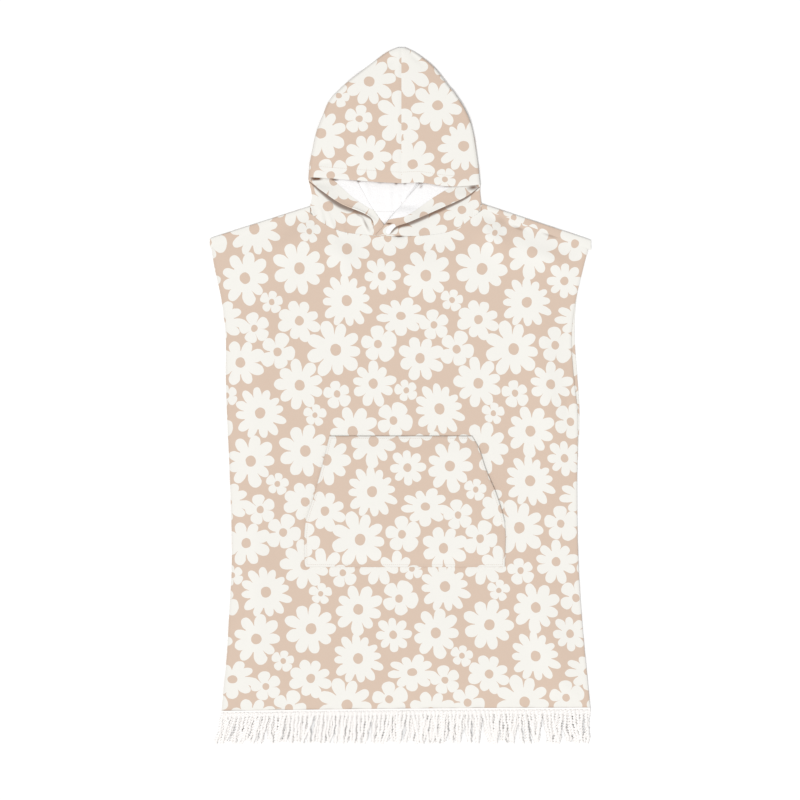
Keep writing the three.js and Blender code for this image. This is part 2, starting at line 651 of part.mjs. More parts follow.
function pocket(front) {
  const points = [];
  for (let r = 0; r <= POCKET_ROWS; r++) {
    const up = (POCKET_HEIGHT * r) / POCKET_ROWS;
    const row = [];
    for (let c = 0; c <= POCKET_ACROSS; c++) {
      const start = read(pocketSides, "up", up, "left");
      const end = read(pocketSides, "up", up, "right");
      const x = mix(start, end, c / POCKET_ACROSS);
      const fromSide = up < POCKET_SIDE_SEWN ? Math.min(x - start, end - x) : Infinity;
      const loft = POCKET_LOFT * smooth(Math.min(up, POCKET_HEIGHT - up, fromSide) / POCKET_LOFT_EDGE);
      const z = heightOnFaces(front, x, POCKET_FOOT + up) + POCKET_CLEAR + CLOTH / 2 + loft;
      row.push(new THREE.Vector3(x, POCKET_FOOT + up, z));
    }
    points.push(row);
  }
  return clothWall(points);
}

// Fringe
function solidOf(geometry) {
  const bare = geometry.clone();
  bare.deleteAttribute("normal");
  const merged = mergeVertices(bare);
  return new wasm.Manifold(
    new wasm.Mesh({
      numProp: 3,
      vertProperties: new Float32Array(merged.getAttribute("position").array),
      triVerts: new Uint32Array(merged.getIndex().array),
    }),
  );
}

function geometryOf(solid) {
  const mesh = solid.getMesh();
  const geometry = new THREE.BufferGeometry();
  geometry.setAttribute("position", new THREE.BufferAttribute(mesh.vertProperties, 3));
  geometry.setIndex(new THREE.BufferAttribute(mesh.triVerts, 1));
  geometry.computeVertexNormals();
  return geometry;
}

// A closed prism of STRAND_SIDES sides along a path, thinner towards its end.
function strand(path) {
  const vertices = [];
  const triangles = [];
  const n = STRAND_SIDES;
  path.forEach((p, i) => {
    const radius = STRAND_RADIUS * (1 - 0.25 * (i / (path.length - 1)));
    for (let k = 0; k < n; k++) {
      const angle = Math.PI / 2 + (2 * Math.PI * k) / n;
      vertices.push(p.x + radius * Math.cos(angle), p.y, p.z + radius * Math.sin(angle));
    }
  });
  for (let i = 0; i < path.length - 1; i++)
    for (let k = 0; k < n; k++) {
      const [a, b] = [i * n + k, i * n + ((k + 1) % n)];
      triangles.push(a, b, b + n, a, b + n, a + n);
    }
  const end = (path.length - 1) * n;
  for (let k = 1; k < n - 1; k++) {
    triangles.push(0, k + 1, k);
    triangles.push(end, end + k, end + k + 1);
  }
  const geometry = new THREE.BufferGeometry();
  geometry.setAttribute("position", new THREE.Float32BufferAttribute(vertices, 3));
  geometry.setIndex(triangles);
  return geometry;
}

function fringe({ middle, sag, phase, shorter, shift }) {
  const [start, end] = [left(HEM_HEIGHT), right(HEM_HEIGHT)];
  const hemAt = (u) => hemHeight(u) - SEAM_GAP;
  const heading = [];
  for (const drop of [0, HEADING_HEIGHT]) {
    const row = [];
    for (let c = 0; c <= HEADING_CELLS; c++) {
      const u = c / HEADING_CELLS;
      row.push(new THREE.Vector3(mix(start, end, u), hemAt(u) - drop, middle));
    }
    heading.push(row);
  }
  let solid = solidOf(clothWall(heading, () => true, HEADING_THICK));
  const pitch = (end - start) / (STRANDS + 0.5);
  for (let i = 0; i < STRANDS; i++) {
    const x = start + pitch * (i + shift);
    const u = (x - start) / (end - start);
    const top = hemAt(u) - HEADING_HEIGHT + STRAND_ROOT;
    const uneven = 2.2 * (0.5 + 0.5 * Math.sin(i * 2.4 + phase * 5));
    const notch = FRINGE_NOTCH.depth * Math.exp(-(((x - FRINGE_NOTCH.across) / FRINGE_NOTCH.half) ** 2));
    const foot = FRINGE_END + shorter + uneven + notch;
    const lean = mix(FRINGE_LEAN.left, FRINGE_LEAN.right, u);
    const path = [];
    for (let k = 0; k <= STRAND_STEPS; k++) {
      const t = k / STRAND_STEPS;
      const wave = t * (1.7 * Math.sin(x * 0.06 + phase) + 1.1 * Math.sin(x * 0.19 + 3 * t + phase * 2));
      path.push(new THREE.Vector3(x + lean * t + wave, mix(top, foot, t), middle - sag * t));
    }
    solid = solid.add(solidOf(strand(path)));
  }
  return geometryOf(solid);
}

const group = new THREE.Group();
const cloth = (color) => new THREE.MeshStandardMaterial({ color, roughness: 0.95, metalness: 0 });
function addPiece(name, geometry, color) {
  const mesh = new THREE.Mesh(geometry, cloth(color));
  mesh.name = name;
  group.add(mesh);
}

const front = frontPanel();
addPiece("back_panel", backPanel(), PRINT_COLOUR);
addPiece("front_panel", front, PRINT_COLOUR);
addPiece("hood_left", hoodHalf(-1), PRINT_COLOUR);
addPiece("hood_right", hoodHalf(1), PRINT_COLOUR);
addPiece("pocket", pocket(front), PRINT_COLOUR);
addPiece("fringe_front", fringe(fringes.fringe_front), FRINGE_COLOUR);
addPiece("fringe_back", fringe(fringes.fringe_back), FRINGE_COLOUR);

export default group;
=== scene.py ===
"""A child's hooded bath poncho of printed towelling, laid out flat with its front up.

Lengths in the tables are millimetres, in the part's own frame: X to the right, Y from the hem to the tip
of the hood, Z up from the surface it lies on.
"""
import math

import bpy
import numpy as np
from bpy.props import FloatProperty, FloatVectorProperty, IntProperty, PointerProperty
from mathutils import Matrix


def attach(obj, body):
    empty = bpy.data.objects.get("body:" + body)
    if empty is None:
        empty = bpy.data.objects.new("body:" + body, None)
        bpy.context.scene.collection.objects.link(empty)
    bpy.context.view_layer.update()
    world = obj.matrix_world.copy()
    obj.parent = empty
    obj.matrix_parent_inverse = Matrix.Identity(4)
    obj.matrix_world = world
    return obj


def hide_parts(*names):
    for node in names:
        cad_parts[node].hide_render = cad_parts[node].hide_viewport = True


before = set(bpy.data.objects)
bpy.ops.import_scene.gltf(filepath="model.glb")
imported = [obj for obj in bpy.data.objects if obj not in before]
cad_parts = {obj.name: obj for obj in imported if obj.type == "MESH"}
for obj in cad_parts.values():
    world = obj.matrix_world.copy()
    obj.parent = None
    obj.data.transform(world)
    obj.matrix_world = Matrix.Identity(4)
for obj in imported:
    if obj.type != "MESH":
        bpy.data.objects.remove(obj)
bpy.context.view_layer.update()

bl_info = {
    "name": "Hooded bath poncho",
    "version": (1, 0, 0),
    "blender": (4, 5, 0),
    "location": "3D View > Sidebar > Poncho",
    "description": "Dresses a flat-laid hooded towelling poncho with its cloth, print, seams and fringe",
    "category": "Object",
}

MM = 0.001


def table(columns, *rows):
    """Rows of values under the names of their columns. A row may leave out its last value."""
    return [dict(zip(columns.split(), row)) for row in rows]


# Tables of the garment's shape

# A fold or a spot has its middle, its direction in degrees from +X, its half length, its half width, and its
# height, or how dark a spot of painted shade is. A trough has a negative rise.
FOLD = "x y turn reach spread rise"

# Body outline from the hem up. back_shows is how far the back peeps out past the front's right edge.
BODY_SIDES = table(
    "height left right back_shows",
    (-516, -295, 313, 0),
    (-435, -287, 305, 0),
    (-369, -283, 299, 0),
    (-270, -278, 293, 0),
    (-138, -281, 291, 0),
    (-30, -286, 295, 3),
    (40, -288, 291, 6),
    (100, -288, 287, 5),
    (159, -295, 290, 1),
    (215, -307, 302, 0),
    (260, -314, 314, 0),
)
# The hem's height at its two ends, and how far its middle lies above the line between them.
HEM = dict(left=-518, right=-512.5, rise=1)
SHOULDER_TIP = dict(left=(-314, 260), right=(314, 257))
# The back folds over the shoulders, and its seam lies this far down on the front.
SHOULDER_WRAP = 14
SHOULDER_START = dict(left=(-149, 312.6), right=(134, 317))

NECKLINE = table(
    "across height",
    (-151, 304),
    (-134, 290),
    (-112, 277),
    (-88, 270),
    (-64, 267),
    (-42, 265),
    (-14, 264),
    (14, 264),
    (46, 266),
    (78, 271),
    (101, 281),
    (118, 295),
    (138, 309.5),
)
BACK_NECK_DROP = 10
# Rough lengths of the two panels and the pocket, which only set how fine the cells at their edges are.
FRONT_LENGTH = 760
BACK_LENGTH = 770
POCKET_WIDTH = 300

# Hood silhouette, the pleat folded in at each side, and the height of the upper layer at the crown seam.
HOOD_SIDES = table(
    "down left right height pleat_left pleat_right top",
    (0, -8, 10, 574, 0, 0, 4.6),
    (0.04, -26, 27, 566, 0, 0, 5.6),
    (0.11, -54, 54, 545, 0, 0, 6.5),
    (0.24, -91, 77, 516, 4, 6, 8.5),
    (0.37, -117, 97, 489, 14, 18, 10),
    (0.5, -129, 112, 462, 28, 36, 11),
    (0.63, -139, 120, 436, 44, 58, 11.5),
    (0.76, -145, 125, 409, 60, 76, 12),
    (0.88, -150, 129, 384, 72, 92, 12),
    (1, -152, 132, 358, 80, 102, 11.5),
)
MOUTH_TOP = HOOD_SIDES[-1]["height"]
# The lowest place of the neckline.
NECK_FOOT = 264
# How far the forehead's edge hangs below the mouth's top, from the crown seam out to the side.
FOREHEAD_HEM = table(
    "out left right",
    (0, 7, 7),
    (0.25, 5, 6),
    (0.6, 1, 12),
    (0.85, -2, 11),
    (1, -3, 9),
)
# Below the forehead the hood's edges are turned back like lapels: side fold, roll line and free edge, how
# wide the painted shade beside the free edge is, and how wide the printed band along it shows.
LAPELS = {
    -1: table(
        "down side_x side_y roll_x roll_y edge_x edge_y gap band",
        (0, -152, 358, -72, 358, -149, 354, 1.5, 27),
        (0.25, -149, 346, -60, 336, -127, 337, 5, 26),
        (0.5, -146.5, 334, -47, 313, -97, 317, 7.5, 21),
        (0.75, -147, 322, -31, 289, -58, 301.5, 5, 11),
        (0.88, -148.5, 316, -22, 276, -45, 288, 1.4, 20),
        (1, -149.5, 311, -14, 264, -46, 266, 0.5, 30),
    ),
    1: table(
        "down side_x side_y roll_x roll_y edge_x edge_y gap band",
        (0, 132, 349, 30, 349, 129, 345, 1.5, 27),
        (0.25, 131.3, 341, 14, 331, 106, 328, 3.5, 27),
        (0.5, 131.5, 334, -3, 311, 62, 308, 5.5, 21),
        (0.75, 132.5, 326, -22, 288, 14, 287, 6, 11),
        (0.88, 133.2, 321, -31.5, 276.5, -8, 279, 4, 15),
        (1, 134, 317, -42, 265, -19, 266, 0.8, 30),
    ),
}
# Other spots of painted shade in the mouth.
MOUTH_SHADE_SPOTS = table(
    FOLD,
    (-139, 359, 2, 11, 2.8, 2.4),
    (-109, 357.6, -3, 8, 2.4, 1.7),
    (120, 344.5, 10, 12, 6, 1.1),
    (80, 346, 2, 16, 1.8, 0.9),
    (34, 346, 65, 5, 2.4, 0.9),
    (-19, 284.4, 2, 6, 1.7, 1.6),
    (-2.3, 263.8, 0, 9, 1.7, 1.3),
    (-70, 299.5, -31, 9, 1.7, 0.75),
    (-57, 283, -64, 15, 1.7, 0.8),
)
# Painted shade in the folds of the right shoulder.
SHOULDER_SHADE_FOLDS = table(
    FOLD,
    (196, 277, -14, 14, 3.2, 0.55),
    (243, 266, -15, 22, 2.6, 0.6),
    (166, 290, -30, 18, 9, 0.32),
)
# Little tucks that break the thin line of painted shade under the forehead hem, and how dark each one's
# painted shade is.
HEM_TUCKS = table(
    "x half dark",
    (-69, 3, 0.6),
    (-34, 5, 0.25),
    (-7.4, 2.5, 0.6),
    (7.4, 2.5, 0.45),
    (33, 4, 0.65),
    (62, 6, 0.2),
)
# The white lip at the end of the right lapel, over the crossing.
WHITE_LIP = dict(x=-16, y=275.5, turn=47, reach=10, spread=5.5)
# The lip ends where its fold has sunk to this, over a short slope.
LIP_EDGE = math.exp(-1.5)
LIP_STEEP = 60
CROWN_SEAM = 1.5
# The right half climbs onto the left one below top, over this depth, from starts across to done.
CROSSING = dict(top=316, depth=18, starts=44, done=2, slack=0.9)

POCKET_SIDES = table(
    "up left right",
    (0, -158, 172),
    (70, -157, 172),
    (120, -142, 158),
    (160, -131, 141),
    (196, -122, 129),
    (216, -117, 118),
)
POCKET_FOOT = -281
POCKET_HEIGHT = 216
# The sides are sewn down to this height, and open above it for the hands.
POCKET_SIDE_SEWN = 72

# How much of a painted shade spot's faint rim is left out.
SPOT_RIM = 0.15

# Soft rises of the front, and then its sharper creases and those of the other pieces.
FRONT_RIDGES = table(
    FOLD,
    (-176, 262, 55, 62, 24, 5),
    (-96, 238, 100, 55, 26, 3.5),
    (148, 268, 128, 58, 24, 4.5),
    (236, 232, 152, 66, 24, 3),
    (10, 205, 8, 120, 36, 2),
    (-232, 60, 82, 150, 30, 2.5),
    (238, 20, 96, 140, 30, 3),
    (-236, -330, 88, 150, 28, 2.5),
    (60, -405, 80, 90, 42, 2),
    (245, -400, 104, 110, 34, 2.5),
)
FRONT_CREASES = table(
    FOLD,
    (-105, 274, 115, 20, 4, -1.3),
    (-139, 288, 123, 14, 5, -1.2),
    (168, 287, 160, 26, 6, -1.6),
    (196, 277, 166, 18, 5, -1.2),
    (243, 266, 165, 24, 5, -1.2),
    (-268, 52, 90, 46, 6, 0.8),
    (-263, -372, 90, 32, 6, 0.8),
    (274, -15, 88, 22, 5, -0.8),
)
BACK_CREASES = table(
    FOLD,
    (-255, 120, 88, 50, 7, 0.6),
    (250, -60, 92, 46, 7, 0.6),
    (-240, -360, 90, 36, 7, 0.6),
)
HOOD_CREASES = {
    -1: table(
        FOLD,
        (-16, 552, 60, 12, 5, -0.9),
        (-130, 384, 2, 24, 4, -0.9),
    ),
    1: table(
        FOLD,
        (26, 556, 140, 16, 5, -0.9),
    ),
}
INSIDE_FOLDS = table(
    FOLD,
    (-56, 340, 108, 18, 5, 0.8),
    (-18, 330, 92, 34, 4.5, 1.1),
    (-4, 322, 86, 30, 4, 0.8),
    (9, 334, 80, 24, 4, 1),
    (20, 340, 68, 20, 4, 1),
)
CHEEK_FOLDS = table(
    FOLD,
    (-59, 285, 118, 20, 3, 1.5),
)
# Gathers of the hood along the neck seam, deeper on the left.
GATHERS = table(
    "x rise half reach slant",
    (-143, 1.1, 4, 22, 0.3),
    (-127, 1.5, 4, 30, 0.2),
    (-110, 1.2, 4, 34, 0.45),
    (-92, 0.8, 5, 22, 0.3),
    (98, 0.8, 5, 20, -0.2),
    (113, 1.3, 4.5, 22, -0.2),
    (127, 1.1, 4, 20, -0.1),
)

# One repeat of the print, charted: flower middles, outer radius, petals, the turn of one petal, and
# the height of a flattened flower as a share of its width.
PRINT_REPEAT = 300
FLOWERS = table(
    "x y radius petals turn tall",
    (68, 282, 43, 12, 7),
    (159, 275, 19, 5, 12),
    (221, 246, 43, 9, 23),
    (141, 216, 45, 9, 39),
    (50, 203, 43, 9, 37),
    (93, 163, 20, 5, 8),
    (138, 131, 35, 8, 20),
    (218, 162, 43, 12, 5),
    (278, 201, 31, 8, 2),
    (63, 121, 25, 5, 30),
    (8, 136, 41, 9, -10, 0.76),
    (100, 81, 31, 5, -5),
    (197, 82, 47, 9, 34),
    (268, 90, 30, 5, 21),
    (38, 66, 39, 8, 20),
    (135, 25, 42, 9, 18),
    (258, 25, 37, 9, 10),
    (197, 9, 24, 5, 28),
    (13, 13, 20, 5, 31),
    (290, 263, 30, 5, 61),
)
# How the print lies on each piece: a spot of the piece with the spot of the repeat that falls there, the
# turn of the repeat's bottom edge, the lean of its side edge where that differs, and its width and height.
# pulled says how far the cloth lies out of true at 300 mm from the middle: across and up the print, by the
# squares of the two distances and by their product. drawn says how far the right shoulder's tip is drawn
# outwards and down.
PRINT_LAY = {
    "front": dict(
        turn=0.6, lean=1.8, size=(294, 298), spot=(0, 0), of=(3, 3), pulled=(3, 6, 3, -4), drawn=(18, 5)
    ),
    "pocket": dict(turn=0.8, lean=0.5, size=(292, 296), spot=(-257.5, -319.5), of=(0, 0)),
    "back": dict(turn=1.0, spot=(0, 0), of=(40, 120)),
    "hood_left": dict(turn=-90.5, spot=(-67.8, 456.9), of=(197, 9)),
    "hood_right": dict(turn=90.0, spot=(101.1, 412.2), of=(68, 285)),
    "cheek_left": dict(turn=-60.0, spot=(-118.6, 312.8), of=(136, 25)),
    "cheek_right": dict(turn=70.0, spot=(103.0, 309.0), of=(280, 200)),
    "band": dict(turn=20.0, spot=(0, 0), of=(120, 60)),
    "shoulder": dict(turn=-18.0, spot=(186.5, 294.5), of=(93, 163)),
}
PULL_REACH = 300
# The draw of the right shoulder's tip. It is full at out from the middle and begins above a height, and the
# rises say over how much height it grows, outwards and down.
DRAW = dict(out=280, power=0.8, above=115, out_rise=150, down_rise=75)
# The part of the right shoulder's strip that lies by the lay "shoulder".
OWN_LAY = (0, 250)

SEAM_GAP = 0.02
# Further than the widest band is from a turned hem.
FAR_OFF = 99.0

# Small sums


def smooth(v):
    t = np.clip(v, 0, 1)
    return t * t * (3 - 2 * t)


def mix(a, b, t):
    return a + (b - a) * t


def read(rows, key, at, column):
    """A column of a table at places along another column, by a smooth curve through its rows."""
    xs = np.array([row[key] for row in rows], float)
    ys = np.array([row[column] for row in rows], float)
    slopes = np.empty_like(ys)
    slopes[1:-1] = (ys[2:] - ys[:-2]) / (xs[2:] - xs[:-2])
    slopes[0] = (ys[1] - ys[0]) / (xs[1] - xs[0])
    slopes[-1] = (ys[-1] - ys[-2]) / (xs[-1] - xs[-2])
    at = np.asarray(at, float)
    i = np.clip(np.searchsorted(xs, at, side="right") - 1, 0, len(xs) - 2)
    span = xs[i + 1] - xs[i]
    t = np.clip((at - xs[i]) / span, 0, 1)
    t2, t3 = t * t, t * t * t
    return (
        (2 * t3 - 3 * t2 + 1) * ys[i]
        + (t3 - 2 * t2 + t) * span * slopes[i]
        + (3 * t2 - 2 * t3) * ys[i + 1]
        + (t3 - t2) * span * slopes[i + 1]
    )


def fold_height(folds, x, y):
    """Height of a list of soft folds at points."""
    total = np.zeros(np.broadcast(x, y).shape)
    for f in folds:
        turn = math.radians(f["turn"])
        dx, dy = x - f["x"], y - f["y"]
        along = (dx * math.cos(turn) + dy * math.sin(turn)) / f["reach"]
        aside = (dy * math.cos(turn) - dx * math.sin(turn)) / f["spread"]
        total = total + f["rise"] * np.exp(-1.5 * along**2 - 1.5 * aside**2)
    return total


def ripple(x, y, length, phase):
    """A soft uneven wave, from -1 to 1, for puckered seams."""
    k = 2 * math.pi / length
    return 0.5 * np.sin(k * x + phase + 0.7 * np.sin(k * 0.37 * x + y * 0.03)) + 0.5 * np.sin(
        k * 0.61 * x - 0.11 * k * y + 2.3 * phase
    )


def crowded(cells, length, edge=0.7, second=1.82):
    """Fractions from 0 to 1 with two short cells at each end, so that edges can be rounded."""
    small = edge / length
    inner = np.linspace(second / length, 1 - second / length, cells - 3)
    return np.concatenate([[0, small], inner, [1 - small, 1]])


def print_uv(lay, x, y, mirrored=False):
    """Where a spot of a piece lies in the print, in repeats."""
    place = PRINT_LAY[lay]
    turn = math.radians(place["turn"])
    lean = math.radians(place.get("lean", place["turn"]))
    wide, tall = place.get("size", (PRINT_REPEAT, PRINT_REPEAT))
    out, down = place.get("drawn", (0, 0))
    share = (np.maximum(0, x) / DRAW["out"]) ** DRAW["power"]
    above = y - DRAW["above"]
    x = x - out * share * np.maximum(0, above) / DRAW["out_rise"]
    y = y + down * share * np.clip(above / DRAW["down_rise"], 0, 1)
    dx, dy = x - place["spot"][0], y - place["spot"][1]
    if mirrored:
        dx = -dx
    square = math.cos(turn - lean)
    u = (dx * math.cos(lean) + dy * math.sin(lean)) / (wide * square)
    v = (-dx * math.sin(turn) + dy * math.cos(turn)) / (tall * square)
    u_across, v_across, v_product, v_up = place.get("pulled", (0, 0, 0, 0))
    across, up = dx / PULL_REACH, dy / PULL_REACH
    u = u + (place["of"][0] + u_across * across**2) / PRINT_REPEAT
    v = v + (place["of"][1] + v_across * across**2 + v_product * across * up + v_up * up**2) / PRINT_REPEAT
    return np.stack([u, v], -1)


# Making meshes

# Points are merged where they agree to a ten-thousandth of a millimetre.
PLACES_IN_MM = 1e4
NO_AREA = 1e-9
NO_LENGTH = 1e-12
SHARP = 55
# How thick the two outermost rows of a rounded edge are, as a share.
ROUNDED = (0.42, 0.86)


def add_object(name, mesh):
    obj = bpy.data.objects.new(name, mesh)
    bpy.context.scene.collection.objects.link(obj)
    return obj


def cloth_object(name, grid, there, thickness, uv, materials, attributes, edge_slot=0):
    """A closed wall of cloth from a grid of middle points.

    there says which cells exist, thickness is one value for each point, uv gives each cell's four corners
    their place in the print, and attributes are values for each point. The first material lies on the side
    that the cells face, the second on the other, and edge_slot says which of them the rim has.
    """
    rows, columns = grid.shape[:2]
    points = grid.reshape(-1, 3)
    _, first, merged = np.unique(
        np.round(points * PLACES_IN_MM).astype(np.int64), axis=0, return_index=True, return_inverse=True
    )
    merged = merged.reshape(-1)
    r, c = np.nonzero(there)
    base = r * columns + c
    corner = np.stack([base, base + 1, base + columns + 1, base + columns], 1)
    quads = merged[corner]
    place = points[first]
    a, b, d, e = (place[quads[:, k]] for k in range(4))
    facing = np.cross(d - a, e - b)
    alive = np.linalg.norm(facing, axis=1) > NO_AREA
    alive &= np.array([len(set(q)) for q in quads.tolist()]) >= 3
    quads, facing, r, c = quads[alive], facing[alive], r[alive], c[alive]
    unit = facing / np.linalg.norm(facing, axis=1, keepdims=True)
    normal = np.zeros_like(place)
    for k in range(4):
        np.add.at(normal, quads[:, k], unit)
    length = np.linalg.norm(normal, axis=1, keepdims=True)
    normal = np.where(length > 0, normal / np.maximum(length, NO_LENGTH), 0)
    half = 0.5 * thickness.reshape(-1)[first][:, None]
    used = np.unique(quads)
    index = -np.ones(len(place), int)
    index[used] = np.arange(len(used))
    n = len(used)
    outer = (place + normal * half)[used]
    inner = (place - normal * half)[used]
    vertices = np.concatenate([outer, inner]) * MM
    quads = index[quads]

    faces, uvs, slots = [], [], []
    edges = {}
    for f, quad in enumerate(quads.tolist()):
        keep = [k for k in range(4) if quad[k] != quad[(k + 1) % 4]]
        ring = [quad[k] for k in keep]
        cell = uv[r[f], c[f]]
        faces += [ring, [v + n for v in reversed(ring)]]
        uvs += [cell[keep], cell[keep[::-1]]]
        slots += [0, 1]
        for i, k in enumerate(keep):
            v, w = ring[i], ring[(i + 1) % len(ring)]
            if (w, v) in edges:
                del edges[(w, v)]
            else:
                edges[(v, w)] = (cell[k], cell[keep[(i + 1) % len(keep)]])
    for (v, w), (uv_v, uv_w) in edges.items():
        faces.append([w, v, v + n, w + n])
        uvs.append(np.array([uv_w, uv_v, uv_v, uv_w]))
        slots.append(edge_slot)

    mesh = bpy.data.meshes.new(name)
    mesh.from_pydata(vertices.tolist(), [], faces)
    layer = mesh.uv_layers.new(name="print")
    layer.data.foreach_set("uv", np.concatenate(uvs).astype(np.float32).reshape(-1))
    mesh.polygons.foreach_set("material_index", np.array(slots, np.int32))
    mesh.polygons.foreach_set("use_smooth", np.ones(len(slots), bool))
    for key, values in attributes.items():
        kept = values.reshape(-1)[first][used]
        attribute = mesh.attributes.new(key, "FLOAT", "POINT")
        attribute.data.foreach_set("value", np.concatenate([kept, kept]).astype(np.float32))
    for material in materials:
        mesh.materials.append(material)
    mesh.update()
    mesh.set_sharp_from_angle(angle=math.radians(SHARP))
    return add_object(name, mesh)


def cell_corners(values):
    """Values at grid points as values at each cell's four corners."""
    return np.stack([values[:-1, :-1], values[:-1, 1:], values[1:, 1:], values[1:, :-1]], 2)


def print_cells(lay, grid, mirrored=False):
    """The place in the print of each cell's four corners."""
    return cell_corners(print_uv(lay, grid[..., 0], grid[..., 1], mirrored))


def all_cells(grid):
    return np.ones((grid.shape[0] - 1, grid.shape[1] - 1), bool)


def edge_taper(grid_rows, grid_columns, sides):
    """Thickness factors that round a rectangular grid's edges."""
    row = np.ones(grid_rows)
    column = np.ones(grid_columns)
    for line, first, last in ((row, "b", "t"), (column, "l", "r")):
        if first in sides:
            line[[0, 1]] = ROUNDED
        if last in sides:
            line[[-1, -2]] = ROUNDED
    return np.minimum(row[:, None], column[None, :])


# Where the body's cloth lies


def left(y):
    return read(BODY_SIDES, "height", y, "left")


def right(y):
    return read(BODY_SIDES, "height", y, "right")


def back_shows(y):
    return np.maximum(0, read(BODY_SIDES, "height", y, "back_shows"))


def hem_height(u):
    return mix(HEM["left"], HEM["right"], u) + HEM["rise"] * np.sin(np.pi * u)


def neck_height(x):
    return read(NECKLINE, "across", x, "height")


def front_tips():
    """How high the front panel reaches at its two shoulder tips."""
    return SHOULDER_TIP["left"][1] - SHOULDER_WRAP, SHOULDER_TIP["right"][1] - SHOULDER_WRAP


def seam_line(x):
    """Where the front's top edge lies: its neckline, and the shoulder seams beside it."""
    x = np.asarray(x, float)
    low_left, low_right = front_tips()
    first, last = NECKLINE[0], NECKLINE[-1]
    at_left = mix(low_left, first["height"], (x - left(low_left)) / (first["across"] - left(low_left)))
    at_right = mix(last["height"], low_right, (x - last["across"]) / (right(low_right) - last["across"]))
    return np.where(x < first["across"], at_left, np.where(x > last["across"], at_right, neck_height(x)))


LAYER_AIR = 0.3
# The front's loft, and how far in from its edges it, the creases and the waves have reached their full size.
LOFT = dict(least=1.2, reach=45, creases=10, waves=30)
CREASE_SHARE = 0.9
# Gathers of the front below the neck seam, as shares of the hood's gathers above it, and where they end.
GATHERS_BELOW = dict(rise=0.45, slant=0.6, half=1.25, reach=0.9, within=152)
HEM_PUCKER = dict(rise=0.28, wave=23, phase=0.4, reach=26)
SIDE_PUCKER = dict(rise=0.25, wave=31, phase=1.7, middle=6, reach=16)
WAVES = dict(rise=0.16, wave=57, phase=0.9, skew=(0.4, 0.3))


def layer():
    """How far apart the middles of two layers of cloth lie."""
    return bpy.context.scene.poncho.cloth + LAYER_AIR


def gathers_below(x, y, top):
    """Gathered cloth of the front below the neck seam."""
    total, share, below = np.zeros_like(x), GATHERS_BELOW, top - y
    for g in GATHERS:
        aside = x - g["x"] + g["slant"] * below * share["slant"]
        ridge = np.exp(-((aside / (g["half"] * share["half"])) ** 2))
        fade = smooth(1 - below / (g["reach"] * share["reach"]))
        total = total + share["rise"] * g["rise"] * ridge * fade * (np.abs(x) < share["within"])
    return np.maximum(total, 0)


def front_height(x, y):
    """Height of the middle of the front panel."""
    x, y = np.asarray(x, float), np.asarray(y, float)
    first, last = BODY_SIDES[0]["left"], BODY_SIDES[0]["right"]
    hem = hem_height(np.clip((x - first) / (last - first), 0, 1))
    top = seam_line(x)
    from_side = np.minimum(x - left(y), right(y) - back_shows(y) - x)
    from_edge = np.minimum(from_side, np.minimum(y - hem, top - y))
    loft = LOFT["least"] + fold_height(FRONT_RIDGES, x, y)
    z = 1 + layer() + loft * smooth(from_edge / LOFT["reach"])
    z = z + fold_height(FRONT_CREASES, x, y) * smooth(from_edge / LOFT["creases"]) * CREASE_SHARE
    z = z + gathers_below(x, y, top)
    p = HEM_PUCKER
    z = z + p["rise"] * ripple(x, y, p["wave"], p["phase"]) * smooth(1 - (y - hem) / p["reach"])
    p = SIDE_PUCKER
    fade = smooth(1 - np.abs(from_side - p["middle"]) / p["reach"])
    z = z + p["rise"] * ripple(y, x, p["wave"], p["phase"]) * fade
    p = WAVES
    along, aside = x + p["skew"][0] * y, y - p["skew"][1] * x
    return z + p["rise"] * ripple(along, aside, p["wave"], p["phase"]) * smooth(from_edge / LOFT["waves"])


def coons(u, v, bottom, top, side_0, side_1):
    """Points inside an outline: bottom and top are curves over u, side_0 and side_1 curves over v."""
    u, v = u[None, :, None], v[:, None, None]
    corners = mix(mix(bottom[0], bottom[-1], u), mix(top[0], top[-1], u), v)
    between = mix(bottom[None], top[None], v)
    across = mix(side_0[:, None], side_1[:, None], u)
    return between + across - corners


class PonchoSizes(bpy.types.PropertyGroup):
    """Sizes that a user would change, in millimetres unless a description says otherwise"""

    cloth: FloatProperty(
        name="Cloth", description="Thickness of one layer of towelling, in millimetres",
        default=2.0, min=1, max=4,
    )
    band_depth: FloatProperty(
        name="Hood band", description="Depth of the turned hem round the hood's edge, in millimetres",
        default=21.0,
    )
    stitch: FloatProperty(name="Stitch", description="Length of one stitch, in millimetres", default=3.2)
    strands: IntProperty(
        name="Strands", description="Strands of fringe along each hem", default=89, min=20, max=125
    )
    pile: FloatProperty(
        name="Pile", description="Depth of the printed side's short pile, in millimetres", default=0.16
    )
    loops: FloatProperty(
        name="Loops", description="Depth of the inside's terry loops, in millimetres", default=0.4
    )


class PonchoColours(bpy.types.PropertyGroup):
    """Colours that a user would change, linear"""

    ground: FloatVectorProperty(
        name="Ground", description="The print's warm beige ground",
        subtype="COLOR", size=3, default=(0.634, 0.496, 0.400),
    )
    flower: FloatVectorProperty(
        name="Flower", description="The cream of the daisies",
        subtype="COLOR", size=3, default=(0.81, 0.795, 0.75),
    )
    lining: FloatVectorProperty(
        name="Inside", description="The undyed loops of the inside",
        subtype="COLOR", size=3, default=(0.90, 0.89, 0.89),
    )
    thread: FloatVectorProperty(
        name="Thread", description="The sewing thread",
        subtype="COLOR", size=3, default=(0.70, 0.585, 0.50),
    )
    fringe: FloatVectorProperty(
        name="Fringe", description="The cotton of the fringe",
        subtype="COLOR", size=3, default=(0.92, 0.895, 0.875),
    )
    floor: FloatVectorProperty(
        name="Floor", description="The pale surface it lies on",
        subtype="COLOR", size=3, default=(0.93, 0.93, 0.93),
    )


# Materials

# The brown of the painted shade down in gaps, folds and spots.
PAINTED_SHADE_COLOUR = (0.16, 0.088, 0.056, 1)
